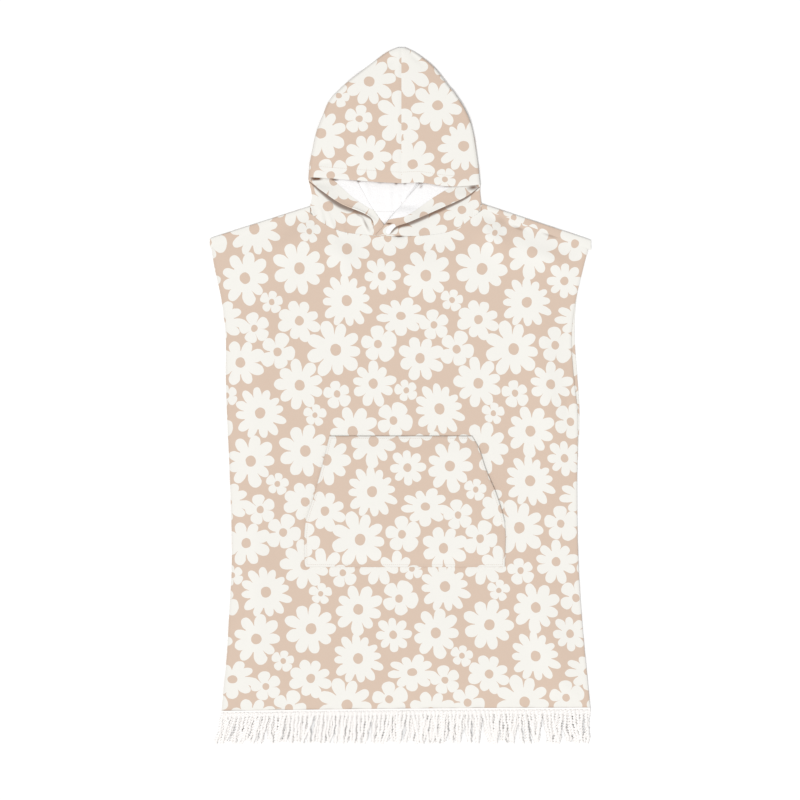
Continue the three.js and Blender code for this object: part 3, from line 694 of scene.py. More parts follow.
# The painted shade down in the fringe's holes and grooves, as shares of the fringe's own colour.
HOLE_SHADE = (0.5, 0.47, 0.44)
PLY_SHADE = 0.8
PLY_TWIST = 1400
# A petal varies in length, width and turn by dice. The first number is how far they reach, the second the
# least value.
PETAL_LENGTH = (0.2, 0.88)
PETAL_WIDTH = (0.2, 0.93)
PETAL_TURN = (0.14, -0.07)
# A petal's ellipse: its middle and half length as shares of the flower's radius, how its half width goes with
# the share of a full turn that it fills, how that grows outward, and how steep its edge is counted.
PETAL_MIDDLE = 0.58
PETAL_HALF = 0.42
PETAL_FILL = 0.6
PETAL_SLIMMER = (-1.15, 1.15)
PETAL_GROWS = (0.72, 0.5)
PETAL_EDGE = 0.3
# The disc that joins the petals grows with their number, and the eye shrinks a little in a large flower.
CORE = (0.034, 0.23)
EYE = (-0.0016, 0.275)
EYE_OVAL = (1.04, 0.96, 0)
PRINT_BLUR = 0.35
PRINT_SHAKE = dict(wave=12, reach=2.6)
# Grains of pile in a millimetre, and millimetres from loop to loop.
PILE_GRAINS = 1.1
LOOP_PITCH = 1.3


def put(tree, socket, value):
    if isinstance(value, bpy.types.NodeSocket):
        tree.links.new(value, socket)
    else:
        socket.default_value = value


def calc(tree, operation, *values):
    node = tree.nodes.new("ShaderNodeMath")
    node.operation = operation
    for socket, value in zip(node.inputs, values):
        put(tree, socket, value)
    return node.outputs[0]


def vector(tree, operation, *values):
    node = tree.nodes.new("ShaderNodeVectorMath")
    node.operation = operation
    for socket, value in zip(node.inputs, values):
        put(tree, socket, value)
    return node.outputs["Value" if operation == "LENGTH" else "Vector"]


def blend_vectors(tree, factor, a, b):
    node = tree.nodes.new("ShaderNodeMix")
    node.data_type = "VECTOR"
    for index, value in ((0, factor), (4, a), (5, b)):
        put(tree, node.inputs[index], value)
    return node.outputs[1]


def blend_colours(tree, factor, a, b):
    node = tree.nodes.new("ShaderNodeMix")
    node.data_type = "RGBA"
    for index, value in ((0, factor), (6, a), (7, b)):
        put(tree, node.inputs[index], value)
    return node.outputs[2]


def parts_of(tree, value):
    node = tree.nodes.new("ShaderNodeSeparateXYZ")
    put(tree, node.inputs[0], value)
    return node.outputs[0], node.outputs[1], node.outputs[2]


def joined(tree, x, y, z):
    node = tree.nodes.new("ShaderNodeCombineXYZ")
    for socket, value in zip(node.inputs, (x, y, z)):
        put(tree, socket, value)
    return node.outputs[0]


def noise(tree, place, scale, detail=2.0):
    node = tree.nodes.new("ShaderNodeTexNoise")
    put(tree, node.inputs["Vector"], place)
    node.inputs["Scale"].default_value = scale
    node.inputs["Detail"].default_value = detail
    return node.outputs["Fac"], node.outputs["Color"]


def soft_step(tree, value, low, high):
    node = tree.nodes.new("ShaderNodeMapRange")
    node.interpolation_type = "SMOOTHSTEP"
    for name, v in (("Value", value), ("From Min", low), ("From Max", high)):
        put(tree, node.inputs[name], v)
    return node.outputs["Result"]


def flower_group():
    """A node group for one flower: below zero inside a petal, in millimetres from its edge."""
    tree = bpy.data.node_groups.new("Flower", "ShaderNodeTree")
    for name, kind in (("Offset", "Vector"), ("Facts", "Vector")):
        tree.interface.new_socket(name, in_out="INPUT", socket_type="NodeSocket" + kind)
    tree.interface.new_socket("Shape", in_out="OUTPUT", socket_type="NodeSocketFloat")
    start, end = tree.nodes.new("NodeGroupInput"), tree.nodes.new("NodeGroupOutput")
    offset = start.outputs[0]
    x, y, _ = parts_of(tree, offset)
    far = vector(tree, "LENGTH", offset)
    petals, turn, radius = parts_of(tree, start.outputs[1])

    # The petal that the spot belongs to, and the angle from its middle
    angle = calc(tree, "SUBTRACT", calc(tree, "ARCTAN2", y, x), turn)
    along = calc(tree, "MULTIPLY", calc(tree, "MULTIPLY", angle, petals), 1 / (2 * math.pi))
    along = calc(tree, "WRAP", along, calc(tree, "SUBTRACT", petals, 0.5), -0.5)
    which = calc(tree, "ROUND", along)
    aside = calc(tree, "DIVIDE", calc(tree, "SUBTRACT", along, which), petals)
    aside = calc(tree, "MULTIPLY", aside, 2 * math.pi)
    dice = tree.nodes.new("ShaderNodeTexWhiteNoise")
    dice.noise_dimensions = "3D"
    put(tree, dice.inputs["Vector"], joined(tree, which, radius, petals))
    one, two, three = parts_of(tree, dice.outputs["Color"])
    length = calc(tree, "MULTIPLY_ADD", one, *PETAL_LENGTH)
    wide = calc(tree, "MULTIPLY_ADD", two, *PETAL_WIDTH)
    aside = calc(tree, "ADD", aside, calc(tree, "MULTIPLY_ADD", three, *PETAL_TURN))

    # A petal is an ellipse that widens outward, and a disc joins the petals
    reach = calc(tree, "DIVIDE", far, length)
    out = calc(tree, "MULTIPLY", reach, calc(tree, "COSINE", aside))
    side = calc(tree, "MULTIPLY", reach, calc(tree, "SINE", aside))
    half = calc(tree, "TANGENT", calc(tree, "DIVIDE", math.pi, petals))
    slimmer = calc(tree, "MULTIPLY_ADD", calc(tree, "DIVIDE", 1.0, petals), *PETAL_SLIMMER)
    fill = calc(tree, "MULTIPLY", wide, PETAL_FILL)
    half = calc(tree, "MULTIPLY", calc(tree, "MULTIPLY", half, slimmer), fill)
    half = calc(tree, "MULTIPLY", half, calc(tree, "MULTIPLY_ADD", out, *PETAL_GROWS))
    a = calc(tree, "MULTIPLY_ADD", out, 1 / PETAL_HALF, -PETAL_MIDDLE / PETAL_HALF)
    b = calc(tree, "DIVIDE", side, half)
    petal = calc(tree, "SUBTRACT", vector(tree, "LENGTH", joined(tree, a, b, 0.0)), 1.0)
    petal = calc(tree, "MULTIPLY", petal, calc(tree, "MULTIPLY", radius, PETAL_EDGE))
    core = calc(tree, "SUBTRACT", far, calc(tree, "MULTIPLY_ADD", petals, *CORE))
    shape = calc(tree, "MINIMUM", petal, calc(tree, "MULTIPLY", core, radius))

    # The eye is left in the colour of the ground
    from_eye = vector(tree, "LENGTH", vector(tree, "MULTIPLY", offset, EYE_OVAL))
    eye = calc(tree, "SUBTRACT", calc(tree, "MULTIPLY_ADD", radius, *EYE), from_eye)
    put(tree, end.inputs[0], calc(tree, "MAXIMUM", shape, calc(tree, "MULTIPLY", eye, radius)))
    return tree


def daisy_group():
    """A node group that draws the repeat: one where a petal is, from a place in repeats."""
    if "Daisies" in bpy.data.node_groups:
        return bpy.data.node_groups["Daisies"]
    tree = bpy.data.node_groups.new("Daisies", "ShaderNodeTree")
    tree.interface.new_socket("Place", in_out="INPUT", socket_type="NodeSocketVector")
    tree.interface.new_socket("Flower", in_out="OUTPUT", socket_type="NodeSocketFloat")
    start, end = tree.nodes.new("NodeGroupInput"), tree.nodes.new("NodeGroupOutput")

    place = vector(tree, "MULTIPLY", start.outputs[0], (PRINT_REPEAT,) * 3)
    _, shake = noise(tree, place, 1 / PRINT_SHAKE["wave"])
    reach = PRINT_SHAKE["reach"]
    shake = vector(tree, "MULTIPLY", vector(tree, "SUBTRACT", shake, (0.5,) * 3), (reach, reach, 0))
    place = vector(tree, "ADD", place, shake)

    # The two flowers that are nearest for their size, from two that are further than any
    nearest, next_nearest = 9.0, 9.5
    offsets, facts = [(0, 0, 0)] * 2, [(5, 0, 20)] * 2
    for f in FLOWERS:
        delta = vector(tree, "SUBTRACT", place, (f["x"], f["y"], 0))
        delta = vector(tree, "WRAP", delta, (PRINT_REPEAT / 2,) * 3, (-PRINT_REPEAT / 2,) * 3)
        across, up = 1 / f["radius"], 1 / (f["radius"] * f.get("tall", 1))
        delta = vector(tree, "MULTIPLY", delta, (across, up, 0))
        own = (f["petals"], math.radians(f["turn"]), f["radius"])
        far = vector(tree, "LENGTH", delta)
        first = calc(tree, "LESS_THAN", far, nearest)
        second = calc(tree, "LESS_THAN", far, next_nearest)
        for kept, new in ((offsets, delta), (facts, own)):
            runner_up = blend_vectors(tree, second, kept[1], new)
            kept[1] = blend_vectors(tree, first, runner_up, kept[0])
            kept[0] = blend_vectors(tree, first, kept[0], new)
        next_nearest = calc(tree, "MINIMUM", next_nearest, calc(tree, "MAXIMUM", far, nearest))
        nearest = calc(tree, "MINIMUM", far, nearest)
    flower = flower_group()
    shapes = []
    for offset, fact in zip(offsets, facts):
        group = tree.nodes.new("ShaderNodeGroup")
        group.node_tree = flower
        put(tree, group.inputs[0], offset)
        put(tree, group.inputs[1], fact)
        shapes.append(group.outputs[0])
    shape = calc(tree, "MULTIPLY", calc(tree, "MINIMUM", *shapes), -1.0)
    put(tree, end.inputs[0], soft_step(tree, shape, -PRINT_BLUR, PRINT_BLUR))
    return tree


def print_colour(tree, colours):
    """The printed colour at the piece's own place in the print."""
    place = tree.nodes.new("ShaderNodeUVMap")
    place.uv_map = "print"
    group = tree.nodes.new("ShaderNodeGroup")
    group.node_tree = daisy_group()
    put(tree, group.inputs[0], place.outputs[0])
    return blend_colours(tree, group.outputs[0], (*colours.ground, 1), (*colours.flower, 1)), place.outputs[0]


def point_value(tree, name):
    """A value that the mesh keeps for each point."""
    node = tree.nodes.new("ShaderNodeAttribute")
    node.attribute_name = name
    return node.outputs["Fac"]


def with_painted_shade(tree, colour):
    """A cloth's colour with painted shade, browner and darker down in the gaps between its layers."""
    return blend_colours(tree, point_value(tree, "gap"), colour, PAINTED_SHADE_COLOUR)


def new_material(name, roughness, specular=None, sheen=None):
    material = bpy.data.materials.new(name)
    material.use_nodes = True
    tree = material.node_tree
    shader = tree.nodes["Principled BSDF"]
    for key, value in (("Roughness", roughness), ("Specular IOR Level", specular), ("Sheen Weight", sheen)):
        if value is not None:
            shader.inputs[key].default_value = value
    return material, tree, shader


def add_bump(tree, shader, height, depth):
    bump = tree.nodes.new("ShaderNodeBump")
    bump.inputs["Strength"].default_value = 1.0
    bump.inputs["Distance"].default_value = depth * MM
    put(tree, bump.inputs["Height"], height)
    put(tree, shader.inputs["Normal"], bump.outputs[0])


def printed_material():
    """The velour side: short clipped pile, printed."""
    if "velour_print" in bpy.data.materials:
        return bpy.data.materials["velour_print"]
    scene = bpy.context.scene
    material, tree, shader = new_material("velour_print", roughness=0.92, specular=0.15, sheen=0.12)
    colour, place = print_colour(tree, scene.poncho_colours)
    put(tree, shader.inputs["Base Color"], with_painted_shade(tree, colour))
    shader.inputs["Sheen Roughness"].default_value = 0.6
    grain, _ = noise(tree, place, PRINT_REPEAT * PILE_GRAINS, detail=4)
    add_bump(tree, shader, grain, scene.poncho.pile)
    return material


def towelling_material():
    """The looped inside, with the turned hem's printed side along its edges."""
    if "looped_inside" in bpy.data.materials:
        return bpy.data.materials["looped_inside"]
    scene = bpy.context.scene
    material, tree, shader = new_material("looped_inside", roughness=0.95, specular=0.1, sheen=0.15)
    colour, place = print_colour(tree, scene.poncho_colours)
    turned = calc(tree, "LESS_THAN", point_value(tree, "from_hem"), scene.poncho.band_depth)
    colour = blend_colours(tree, turned, (*scene.poncho_colours.lining, 1), colour)
    put(tree, shader.inputs["Base Color"], with_painted_shade(tree, colour))
    loops = tree.nodes.new("ShaderNodeTexVoronoi")
    loops.inputs["Scale"].default_value = PRINT_REPEAT / LOOP_PITCH
    put(tree, loops.inputs["Vector"], place)
    height = calc(tree, "MULTIPLY", loops.outputs["Distance"], -1.0)
    height = calc(tree, "MULTIPLY", height, calc(tree, "MULTIPLY_ADD", turned, -0.8, 1.0))
    add_bump(tree, shader, height, scene.poncho.loops)
    return material


def cotton_material():
    """Undyed cotton of the fringe, with painted shade down in the holes and grooves of its heading."""
    if "fringe_cotton" in bpy.data.materials:
        return bpy.data.materials["fringe_cotton"]
    material, tree, shader = new_material("fringe_cotton", roughness=0.9, specular=0.15)
    pale = bpy.context.scene.poncho_colours.fringe
    dark = (*(c * shade for c, shade in zip(pale, HOLE_SHADE)), 1)
    put(tree, shader.inputs["Base Color"], blend_colours(tree, point_value(tree, "hole"), (*pale, 1), dark))
    return material


def thread_material():
    """Sewing thread, a little darker than the ground, with the fine twist of its plies."""
    if "thread" in bpy.data.materials:
        return bpy.data.materials["thread"]
    material, tree, shader = new_material("thread", roughness=0.7)
    colour = bpy.context.scene.poncho_colours.thread
    where = tree.nodes.new("ShaderNodeTexCoord")
    twist, _ = noise(tree, where.outputs["Object"], PLY_TWIST)
    darker = tuple(PLY_SHADE * c for c in colour)
    put(tree, shader.inputs["Base Color"], blend_colours(tree, twist, (*darker, 1), (*colour, 1)))
    return material


# Body panels

FRONT_CELLS = (200, 205)
BACK_ROWS = 150
FOLD_STEPS = 7
BACK_CELLS = dict(beside=38, neck=120)
# Painted shade along the rolled edges of the cloth: how dark, and how wide.
EDGE_SHADE = 0.1
EDGE_SHADE_WIDE = 2.2
# Painted shade in the fringe's seam shows on the front as a broken brown line: how dark it is at least, how
# much it varies along a wave, and how wide it is.
FRINGE_SEAM_SHADE = dict(least=0.16, varies=0.3, wave=41, phase=0.8, wide=1.3)
# The shoulder strip from its fold to the seam: the steps across it, and how far it bulges.
STRIP_STEPS = (0.2, 0.4, 0.6, 0.8, 0.93, 1)
STRIP_BULGE = 0.25
# The back's inside shows its turned printed hem this far in from its sides and its shoulders.
BACK_TURNED = 14
BACK_SHOULDER = 225


def finish_piece(obj, node):
    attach(obj, "root")
    if node:
        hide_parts(node)
    return obj


def cloth_thickness(grid, sides="lrbt"):
    """The thickness of the cloth at each point, rounded off at the sides named."""
    return bpy.context.scene.poncho.cloth * edge_taper(*grid.shape[:2], sides)


def flat_area(grid, there):
    """Area of a grid's cells, in square metres."""
    a, b, c, d = grid[:-1, :-1], grid[:-1, 1:], grid[1:, 1:], grid[1:, :-1]
    area = 0.5 * np.linalg.norm(np.cross(c - a, d - b), axis=-1)
    return float(area[there].sum()) * MM * MM


def make_front():
    low_left, low_right = front_tips()
    start, end = float(left(low_left)), float(right(low_right) - back_shows(low_right))
    u, v = crowded(FRONT_CELLS[0], end - start), crowded(FRONT_CELLS[1], FRONT_LENGTH)
    x_top = mix(start, end, u)
    top = np.stack([x_top, seam_line(x_top) - SEAM_GAP / 2], -1)
    foot = mix(float(left(HEM["left"])), float(right(HEM["right"])), u)
    bottom = np.stack([foot, hem_height(u)], -1)
    up_left = mix(HEM["left"], low_left - SEAM_GAP / 2, v)
    up_right = mix(HEM["right"], low_right - SEAM_GAP / 2, v)
    right_side = np.stack([right(up_right) - back_shows(up_right), up_right], -1)
    flat = coons(u, v, bottom, top, np.stack([left(up_left), up_left], -1), right_side)
    grid = np.dstack([flat, front_height(flat[..., 0], flat[..., 1])])
    there = all_cells(grid)
    x, y = flat[..., 0], flat[..., 1]
    from_side = np.minimum(x - x[:, :1], x[:, -1:] - x)
    # Painted shade: along the sides, in the fringe's seam, and in the spots and folds of the mouth and the
    # right shoulder.
    gap = EDGE_SHADE * np.exp(-((from_side / EDGE_SHADE_WIDE) ** 2))
    seam = FRINGE_SEAM_SHADE
    broken = np.clip(ripple(x, 0 * x, seam["wave"], seam["phase"]), -0.5, 1)
    broken = (seam["least"] + seam["varies"] * broken) * np.exp(-(((y - y[:1]) / seam["wide"]) ** 2))
    spots = np.clip(fold_height(MOUTH_SHADE_SPOTS + SHOULDER_SHADE_FOLDS, x, y) - SPOT_RIM, 0, 1)
    obj = cloth_object(
        "front_panel", grid, there, cloth_thickness(grid, "lrb"), print_cells("front", grid),
        (printed_material(), towelling_material()),
        {"from_hem": np.full(x.shape, FAR_OFF), "gap": np.maximum(np.maximum(gap, broken), spots)},
    )
    finish_piece(obj, "front_panel")
    return obj, flat_area(grid, there)


def back_neck_height(x):
    (x0, y0), (x1, y1) = SHOULDER_START["left"], SHOULDER_START["right"]
    at = np.clip((np.asarray(x, float) - x0) / (x1 - x0), 0, 1)
    return mix(y0, y1, at) - BACK_NECK_DROP * (1 - (2 * at - 1) ** 2)


def make_back():
    (x0, y0), (x1, y1) = SHOULDER_START["left"], SHOULDER_START["right"]
    (tip_left, high_left), (tip_right, high_right) = SHOULDER_TIP["left"], SHOULDER_TIP["right"]
    beside = BACK_CELLS["beside"] + 1
    x = np.concatenate([
        np.linspace(tip_left, x0, beside)[:-1],
        np.linspace(x0, x1, BACK_CELLS["neck"] + 1),
        np.linspace(x1, tip_right, beside)[1:],
    ])
    shoulder = np.where(
        x < x0,
        mix(high_left, y0, (x - tip_left) / (x0 - tip_left)),
        mix(y1, high_right, (x - x1) / (tip_right - x1)),
    )
    in_neck = (x > x0) & (x < x1)
    at_neck = (x >= x0) & (x <= x1)
    top_y = np.where(at_neck, back_neck_height(x) - SEAM_GAP / 2, shoulder)
    u, v = (x - x[0]) / (x[-1] - x[0]), crowded(BACK_ROWS, BACK_LENGTH)
    foot = mix(float(left(HEM["left"])), float(right(HEM["right"])), u)
    bottom = np.stack([foot, hem_height(u)], -1)
    up_left, up_right = mix(HEM["left"], high_left, v), mix(HEM["right"], high_right, v)
    left_side, right_side = np.stack([left(up_left), up_left], -1), np.stack([right(up_right), up_right], -1)
    flat = coons(u, v, bottom, np.stack([x, top_y], -1), left_side, right_side)
    radius = layer() / 2
    flat[-1, ~in_neck, 1] = top_y[~in_neck] - radius
    cloth = bpy.context.scene.poncho.cloth
    z = cloth / 2 + np.maximum(0, fold_height(BACK_CREASES, flat[..., 0], flat[..., 1]))
    z = z + bunched(flat[..., 0], flat[..., 1])
    grid = np.dstack([flat, z])
    rows = [grid]
    for angle in math.pi * (np.arange(FOLD_STEPS) + 1) / FOLD_STEPS:
        height = np.full_like(x, cloth / 2 + radius * (1 - math.cos(angle)))
        turned = np.stack([x, top_y + radius * (math.sin(angle) - 1), height], -1)
        rows.append(turned[None])
    last = rows[-1][0]
    seam = seam_line(x) + SEAM_GAP / 2
    for t in STRIP_STEPS:
        over = last.copy()
        over[:, 1] = mix(last[:, 1], seam, t)
        over[:, 2] += STRIP_BULGE * math.sin(math.pi * t)
        rows.append(over[None])
    grid = np.concatenate(rows)
    there = all_cells(grid)
    there[BACK_ROWS:, at_neck[:-1] & at_neck[1:]] = False
    uv = print_cells("back", grid, mirrored=True)
    # The shoulder strips go on with the front's print, apart from the right one's inner length
    own = (grid[:-1, :-1, 0] > OWN_LAY[0]) & (grid[:-1, :-1, 0] < OWN_LAY[1])
    over = np.where(own[..., None, None], print_cells("shoulder", grid), print_cells("front", grid))
    strip = BACK_ROWS + FOLD_STEPS // 2
    uv[strip:] = over[strip:]
    x, y = grid[..., 0], grid[..., 1]
    near_side = (x > right(y) - BACK_TURNED) | (x < left(y) + BACK_TURNED)
    near_shoulder = (y > BACK_SHOULDER) & ((x < x0 + BACK_TURNED) | (x > x1 - BACK_TURNED))
    obj = cloth_object(
        "back_panel", grid, there, cloth_thickness(grid, "lrb"), uv,
        (towelling_material(), printed_material()),
        {"from_hem": np.where(near_side | near_shoulder, 0.0, FAR_OFF)}, edge_slot=1,
    )
    finish_piece(obj, "back_panel")
    return obj, flat_area(grid, there)


# Hood

HOOD_ROWS = 84
# The hood's rows lie a little closer at its tip.
ROWS_CROWD = 1.1
NECK_ROWS = 60
HOOD_BACK = 90
CHEEK_STATIONS = np.concatenate([np.linspace(0.02, 0.92, 64), [0.95, 0.975, 1.0]])
LAPEL_CELLS = 40
UPPER_CELLS = 44
FREE_EDGE = HOOD_BACK + FOLD_STEPS + len(CHEEK_STATIONS) + FOLD_STEPS + LAPEL_CELLS
SMALLEST_PLEAT = 10
LAPEL_LIFT = 4.2
NECK_CLEAR = 0.12
# The back of the head rises between the roll lines: how far, over how much at each line, and where it fades
# out below and above.
BUNCHED = dict(rise=4.1, outside=3, over=5, low=280, low_over=12, high=430, high_over=50)
# A fold is longer where the hood's side leans: at most so much, and so much more where no pleat lies in it.
SLANT_MOST = 2.3
SLANT_NO_PLEAT = 1.4
SIDE_STEP = 0.8
# The height of the upper layer's side at the tip of the hood, and how far down it has come to its own.
TIP_SIDE = dict(height=4.1, down=0.28)
# The share of the way down the head at which its rows begin to sink to the mouth's corners.
MOUTH_SINKS = 0.6
# The crown seam is a groove with a soft ridge on its left.
CROWN_GROOVE = dict(rise=-0.5, aside=0, wide=2.6)
CROWN_RIDGE = dict(rise=0.35, aside=-5, wide=3.2)
# The lapel rises towards its free edge, from so far down until so near its foot.
LAPEL_LIFTS = dict(down=0.25, foot=0.35)
HOOD_HEM = 18
CORNER_BAND = 18
# The thin line of painted shade under the forehead hem, and how it widens at a tuck.
FOREHEAD_SHADE_LINE = dict(dark=0.3, varies=0.14, wave=37, phase=1.1, most=0.9, wide=1.3, at_tuck=2.6)
# The painted shade in the gap beside the free edge of a lapel: how dark, its width as a share of the table's,
# and how steeply its dark ends.
LAPEL_SHADE = dict(dark=0.82, share=0.98, steep=6)
# The hem of the hood is pressed thinner, as a share of the cloth.
PRESSED = dict(forehead=0.55, lapel=0.5)


def half_turn(start, end, bulge, steps):
    """Points along a half turn of cloth, after the first."""
    angle = math.pi * (np.arange(steps) + 1) / steps
    points = start + (end - start) * ((1 - np.cos(angle)) / 2)[:, None]
    points[:, 0] += bulge * np.sin(angle)
    return points


def crossing(side, x, y):
    """How far the right half has climbed onto the left one, from 0 to 1."""
    if side < 0:
        return np.zeros(np.broadcast(x, y).shape)
    across = (CROSSING["starts"] - x) / (CROSSING["starts"] - CROSSING["done"])
    return smooth(across) * smooth((CROSSING["top"] - y) / CROSSING["depth"])


def gather_height(x, y):
    """Height of the hood's gathers above the neck seam."""
    total = 0
    above = y - neck_height(x)
    for g in GATHERS:
        middle = g["x"] - g["slant"] * above
        ridge = np.exp(-(((x - middle) / g["half"]) ** 2))
        total = total + g["rise"] * ridge * smooth(1 - above / g["reach"])
    return total


def cheek(side, x, y):
    """Points of the layer that lies on the front of the neck."""
    x, y = np.broadcast_arrays(np.asarray(x, float), np.asarray(y, float))
    z = 1 + layer() + gather_height(x, y) + fold_height(CHEEK_FOLDS, x, y)
    z = z + 2 * layer() * crossing(side, x, y)
    return np.stack([x, y, z], -1)


def lapel_points(side, x, y, lift):
    """Points of the layer that is turned back over the cheek."""
    climb = crossing(side, x, y)
    slack = CROSSING["slack"] * 4 * climb * (1 - climb)
    return np.stack([x, y, 1 + 2 * layer() + 2 * layer() * climb + slack + lift], -1)


def fold_slant(name, down):
    """How much longer a level fold is where the hood's side leans."""
    a, b = max(0, down - 0.02), min(1, down + 0.02)
    across = read(HOOD_SIDES, "down", b, name) - read(HOOD_SIDES, "down", a, name)
    along = read(HOOD_SIDES, "down", b, "height") - read(HOOD_SIDES, "down", a, "height")
    return math.hypot(1, float(across / along))


def bunched(x, y):
    """How far the back of the head rises between the roll lines, in soft folds."""
    b = BUNCHED
    down = np.clip((MOUTH_TOP - y) / (MOUTH_TOP - NECK_FOOT), 0, 1)
    start, end = read(LAPELS[-1], "down", down, "roll_x"), read(LAPELS[1], "down", down, "roll_x")
    inside = smooth((x - start + b["outside"]) / b["over"]) * smooth((end + b["outside"] - x) / b["over"])
    fade = smooth((y - b["low"]) / b["low_over"]) * smooth((b["high"] - y) / b["high_over"])
    return inside * fade * (b["rise"] + fold_height(INSIDE_FOLDS, x, y))


def side_name(side):
    return "left" if side < 0 else "right"


def head_row(side, down):
    """A row across the hood above its mouth: back, side fold, pleat, and over the head to the crown seam."""
    name = side_name(side)
    first = LAPELS[side][0]
    near = float(smooth((down - MOUTH_SINKS) / (1 - MOUTH_SINKS)))
    side_drop, edge_drop = near * (MOUTH_TOP - first["side_y"]), near * (MOUTH_TOP - first["edge_y"])

    def at(column):
        return float(read(HOOD_SIDES, "down", down, column))

    def hem(out):
        return near * read(FOREHEAD_HEM, "out", out, name)

    height, seam = at("height"), CROWN_SEAM + side * SEAM_GAP / 2
    depth = at("pleat_" + name)
    pleated = depth >= SMALLEST_PLEAT
    radius, tip = layer() / 2, layer() / 2 + 1
    slant = min(SLANT_MOST, fold_slant(name, down) * (1 if pleated else SLANT_NO_PLEAT))
    outer = at(name) - side * tip * slant
    inner = outer - side * SIDE_STEP
    upper_side = 1 + 3 * layer()
    if not pleated:
        upper_side = float(mix(TIP_SIDE["height"], upper_side, smooth(down / TIP_SIDE["down"])))
    out = np.linspace(0, 1, HOOD_BACK + 1)
    back = np.stack([mix(seam, outer, out), height - side_drop * out, np.ones_like(out)], -1)
    back[:, 2] += bunched(back[:, 0], back[:, 1])
    row = [back]
    upper_end = np.array([inner, height - float(hem(1.0)), upper_side])
    if pleated:
        roll, level = at(name) - side * (depth - tip), height - side_drop
        row.append(half_turn(back[-1], cheek(side, outer, level), side * radius * slant, FOLD_STEPS))
        row.append(cheek(side, mix(outer, roll, CHEEK_STATIONS), level))
        end = row[-1][-1]
        row.append(half_turn(end, np.array([roll, level, 1 + 2 * layer()]), -side * radius, FOLD_STEPS))
        t = (np.arange(LAPEL_CELLS) + 1) / LAPEL_CELLS
        x, y = mix(roll, inner, t), height - mix(side_drop, edge_drop, t)
        row.append(np.stack([x, y, np.full_like(x, 1 + 2 * layer())], -1))
        row.append(half_turn(row[-1][-1], upper_end, side * radius * slant, FOLD_STEPS))
    else:
        turn = half_turn(back[-1], upper_end, side * radius * slant, 2 * FOLD_STEPS)
        row.append(turn[:FOLD_STEPS])
        missing = FREE_EDGE - HOOD_BACK - FOLD_STEPS
        row.append(np.repeat(turn[FOLD_STEPS - 1][None], missing, 0))
        row.append(turn[FOLD_STEPS:])
    out = 1 - (np.arange(UPPER_CELLS) + 1) / UPPER_CELLS
    x, y = mix(seam, inner, out), height - hem(out)
    z = mix(at("top"), upper_side, out * out) + fold_height(HOOD_CREASES[side], x, y) * smooth((1 - out) * 6)
    for line in (CROWN_GROOVE, CROWN_RIDGE):
        z = z + line["rise"] * np.exp(-(((x - CROWN_SEAM - line["aside"]) / line["wide"]) ** 2))
    row.append(np.stack([x, y, z], -1))
    return np.concatenate(row)


def neck_row(side, down):
    """A row below the mouth: back of the head, cheek and lapel."""
    seam = CROWN_SEAM + side * SEAM_GAP / 2
    radius, tip = layer() / 2, layer() / 2 + 1
    u = np.linspace(0, 1, HOOD_BACK + 1)[:, None]
    v = 1 - down

    def spot(column, t, shift):
        x, y = (float(read(LAPELS[side], "down", t, column + end)) for end in ("_x", "_y"))
        return np.array([x + shift, y])

    def side_at(t):
        return spot("side", t, -side * tip)

    def roll_at(t):
        return spot("roll", t, side * tip)

    def inside(u, foot, head, side_0, side_1):
        corners = mix(mix(foot[0], foot[-1], u), mix(head[0], head[-1], u), v)
        return mix(foot, head, v) + mix(side_0, side_1, u) - corners

    x = mix(seam, side_at(1)[0], u[:, 0])
    foot = np.stack([x, back_neck_height(x) + NECK_CLEAR], -1)
    head = mix(np.array([seam, MOUTH_TOP]), side_at(0), u)
    p = inside(u, foot, head, np.array([seam, mix(foot[0, 1], MOUTH_TOP, v)]), side_at(down))
    p[:, 1] = np.maximum(p[:, 1], back_neck_height(p[:, 0]) + NECK_CLEAR)
    back = np.column_stack([p, np.ones(len(p))])
    back[:, 2] += bunched(back[:, 0], back[:, 1])
    row = [back]
    row.append(half_turn(back[-1], cheek(side, *side_at(down)), side * radius, FOLD_STEPS))

    u = np.concatenate([[0], CHEEK_STATIONS, [1]])[:, None]
    x = mix(side_at(1)[0], roll_at(1)[0], u[:, 0])
    foot = np.stack([x, neck_height(x) + NECK_CLEAR], -1)
    foot[0, 1] = side_at(1)[1]
    head = mix(side_at(0), roll_at(0), u)
    p = inside(u, foot, head, side_at(down), roll_at(down))[1:-1]
    row.append(cheek(side, p[:, 0], np.maximum(p[:, 1], neck_height(p[:, 0]) + NECK_CLEAR)))
    end = row[-1][-1]
    start = lapel_points(side, end[:1], end[1:2], 0)[0]
    row.append(half_turn(end, start, -side * radius, FOLD_STEPS))
    t = ((np.arange(LAPEL_CELLS) + 1) / LAPEL_CELLS)[:, None]
    p = mix(end[:2], spot("edge", down, 0), t)
    t = t[:, 0]
    lift = LAPEL_LIFT * t * t * smooth(down / LAPEL_LIFTS["down"]) * smooth((1 - down) / LAPEL_LIFTS["foot"])
    lapel = lapel_points(side, p[:, 0], np.maximum(p[:, 1], neck_height(p[:, 0]) + NECK_CLEAR), lift)
    lapel[:, 2] += np.maximum(0, fold_height(INSIDE_FOLDS, p[:, 0], p[:, 1])) * smooth((1 - t) * 5) * 0.5
    row.append(lapel)
    row.append(np.repeat(lapel[-1][None], FOLD_STEPS + UPPER_CELLS, 0))
    return np.concatenate(row)


def hood_grid(side):
    rows = [head_row(side, (r / HOOD_ROWS) ** ROWS_CROWD) for r in range(HOOD_ROWS + 1)]
    rows += [neck_row(side, r / NECK_ROWS) for r in range(1, NECK_ROWS + 1)]
    return np.stack(rows)


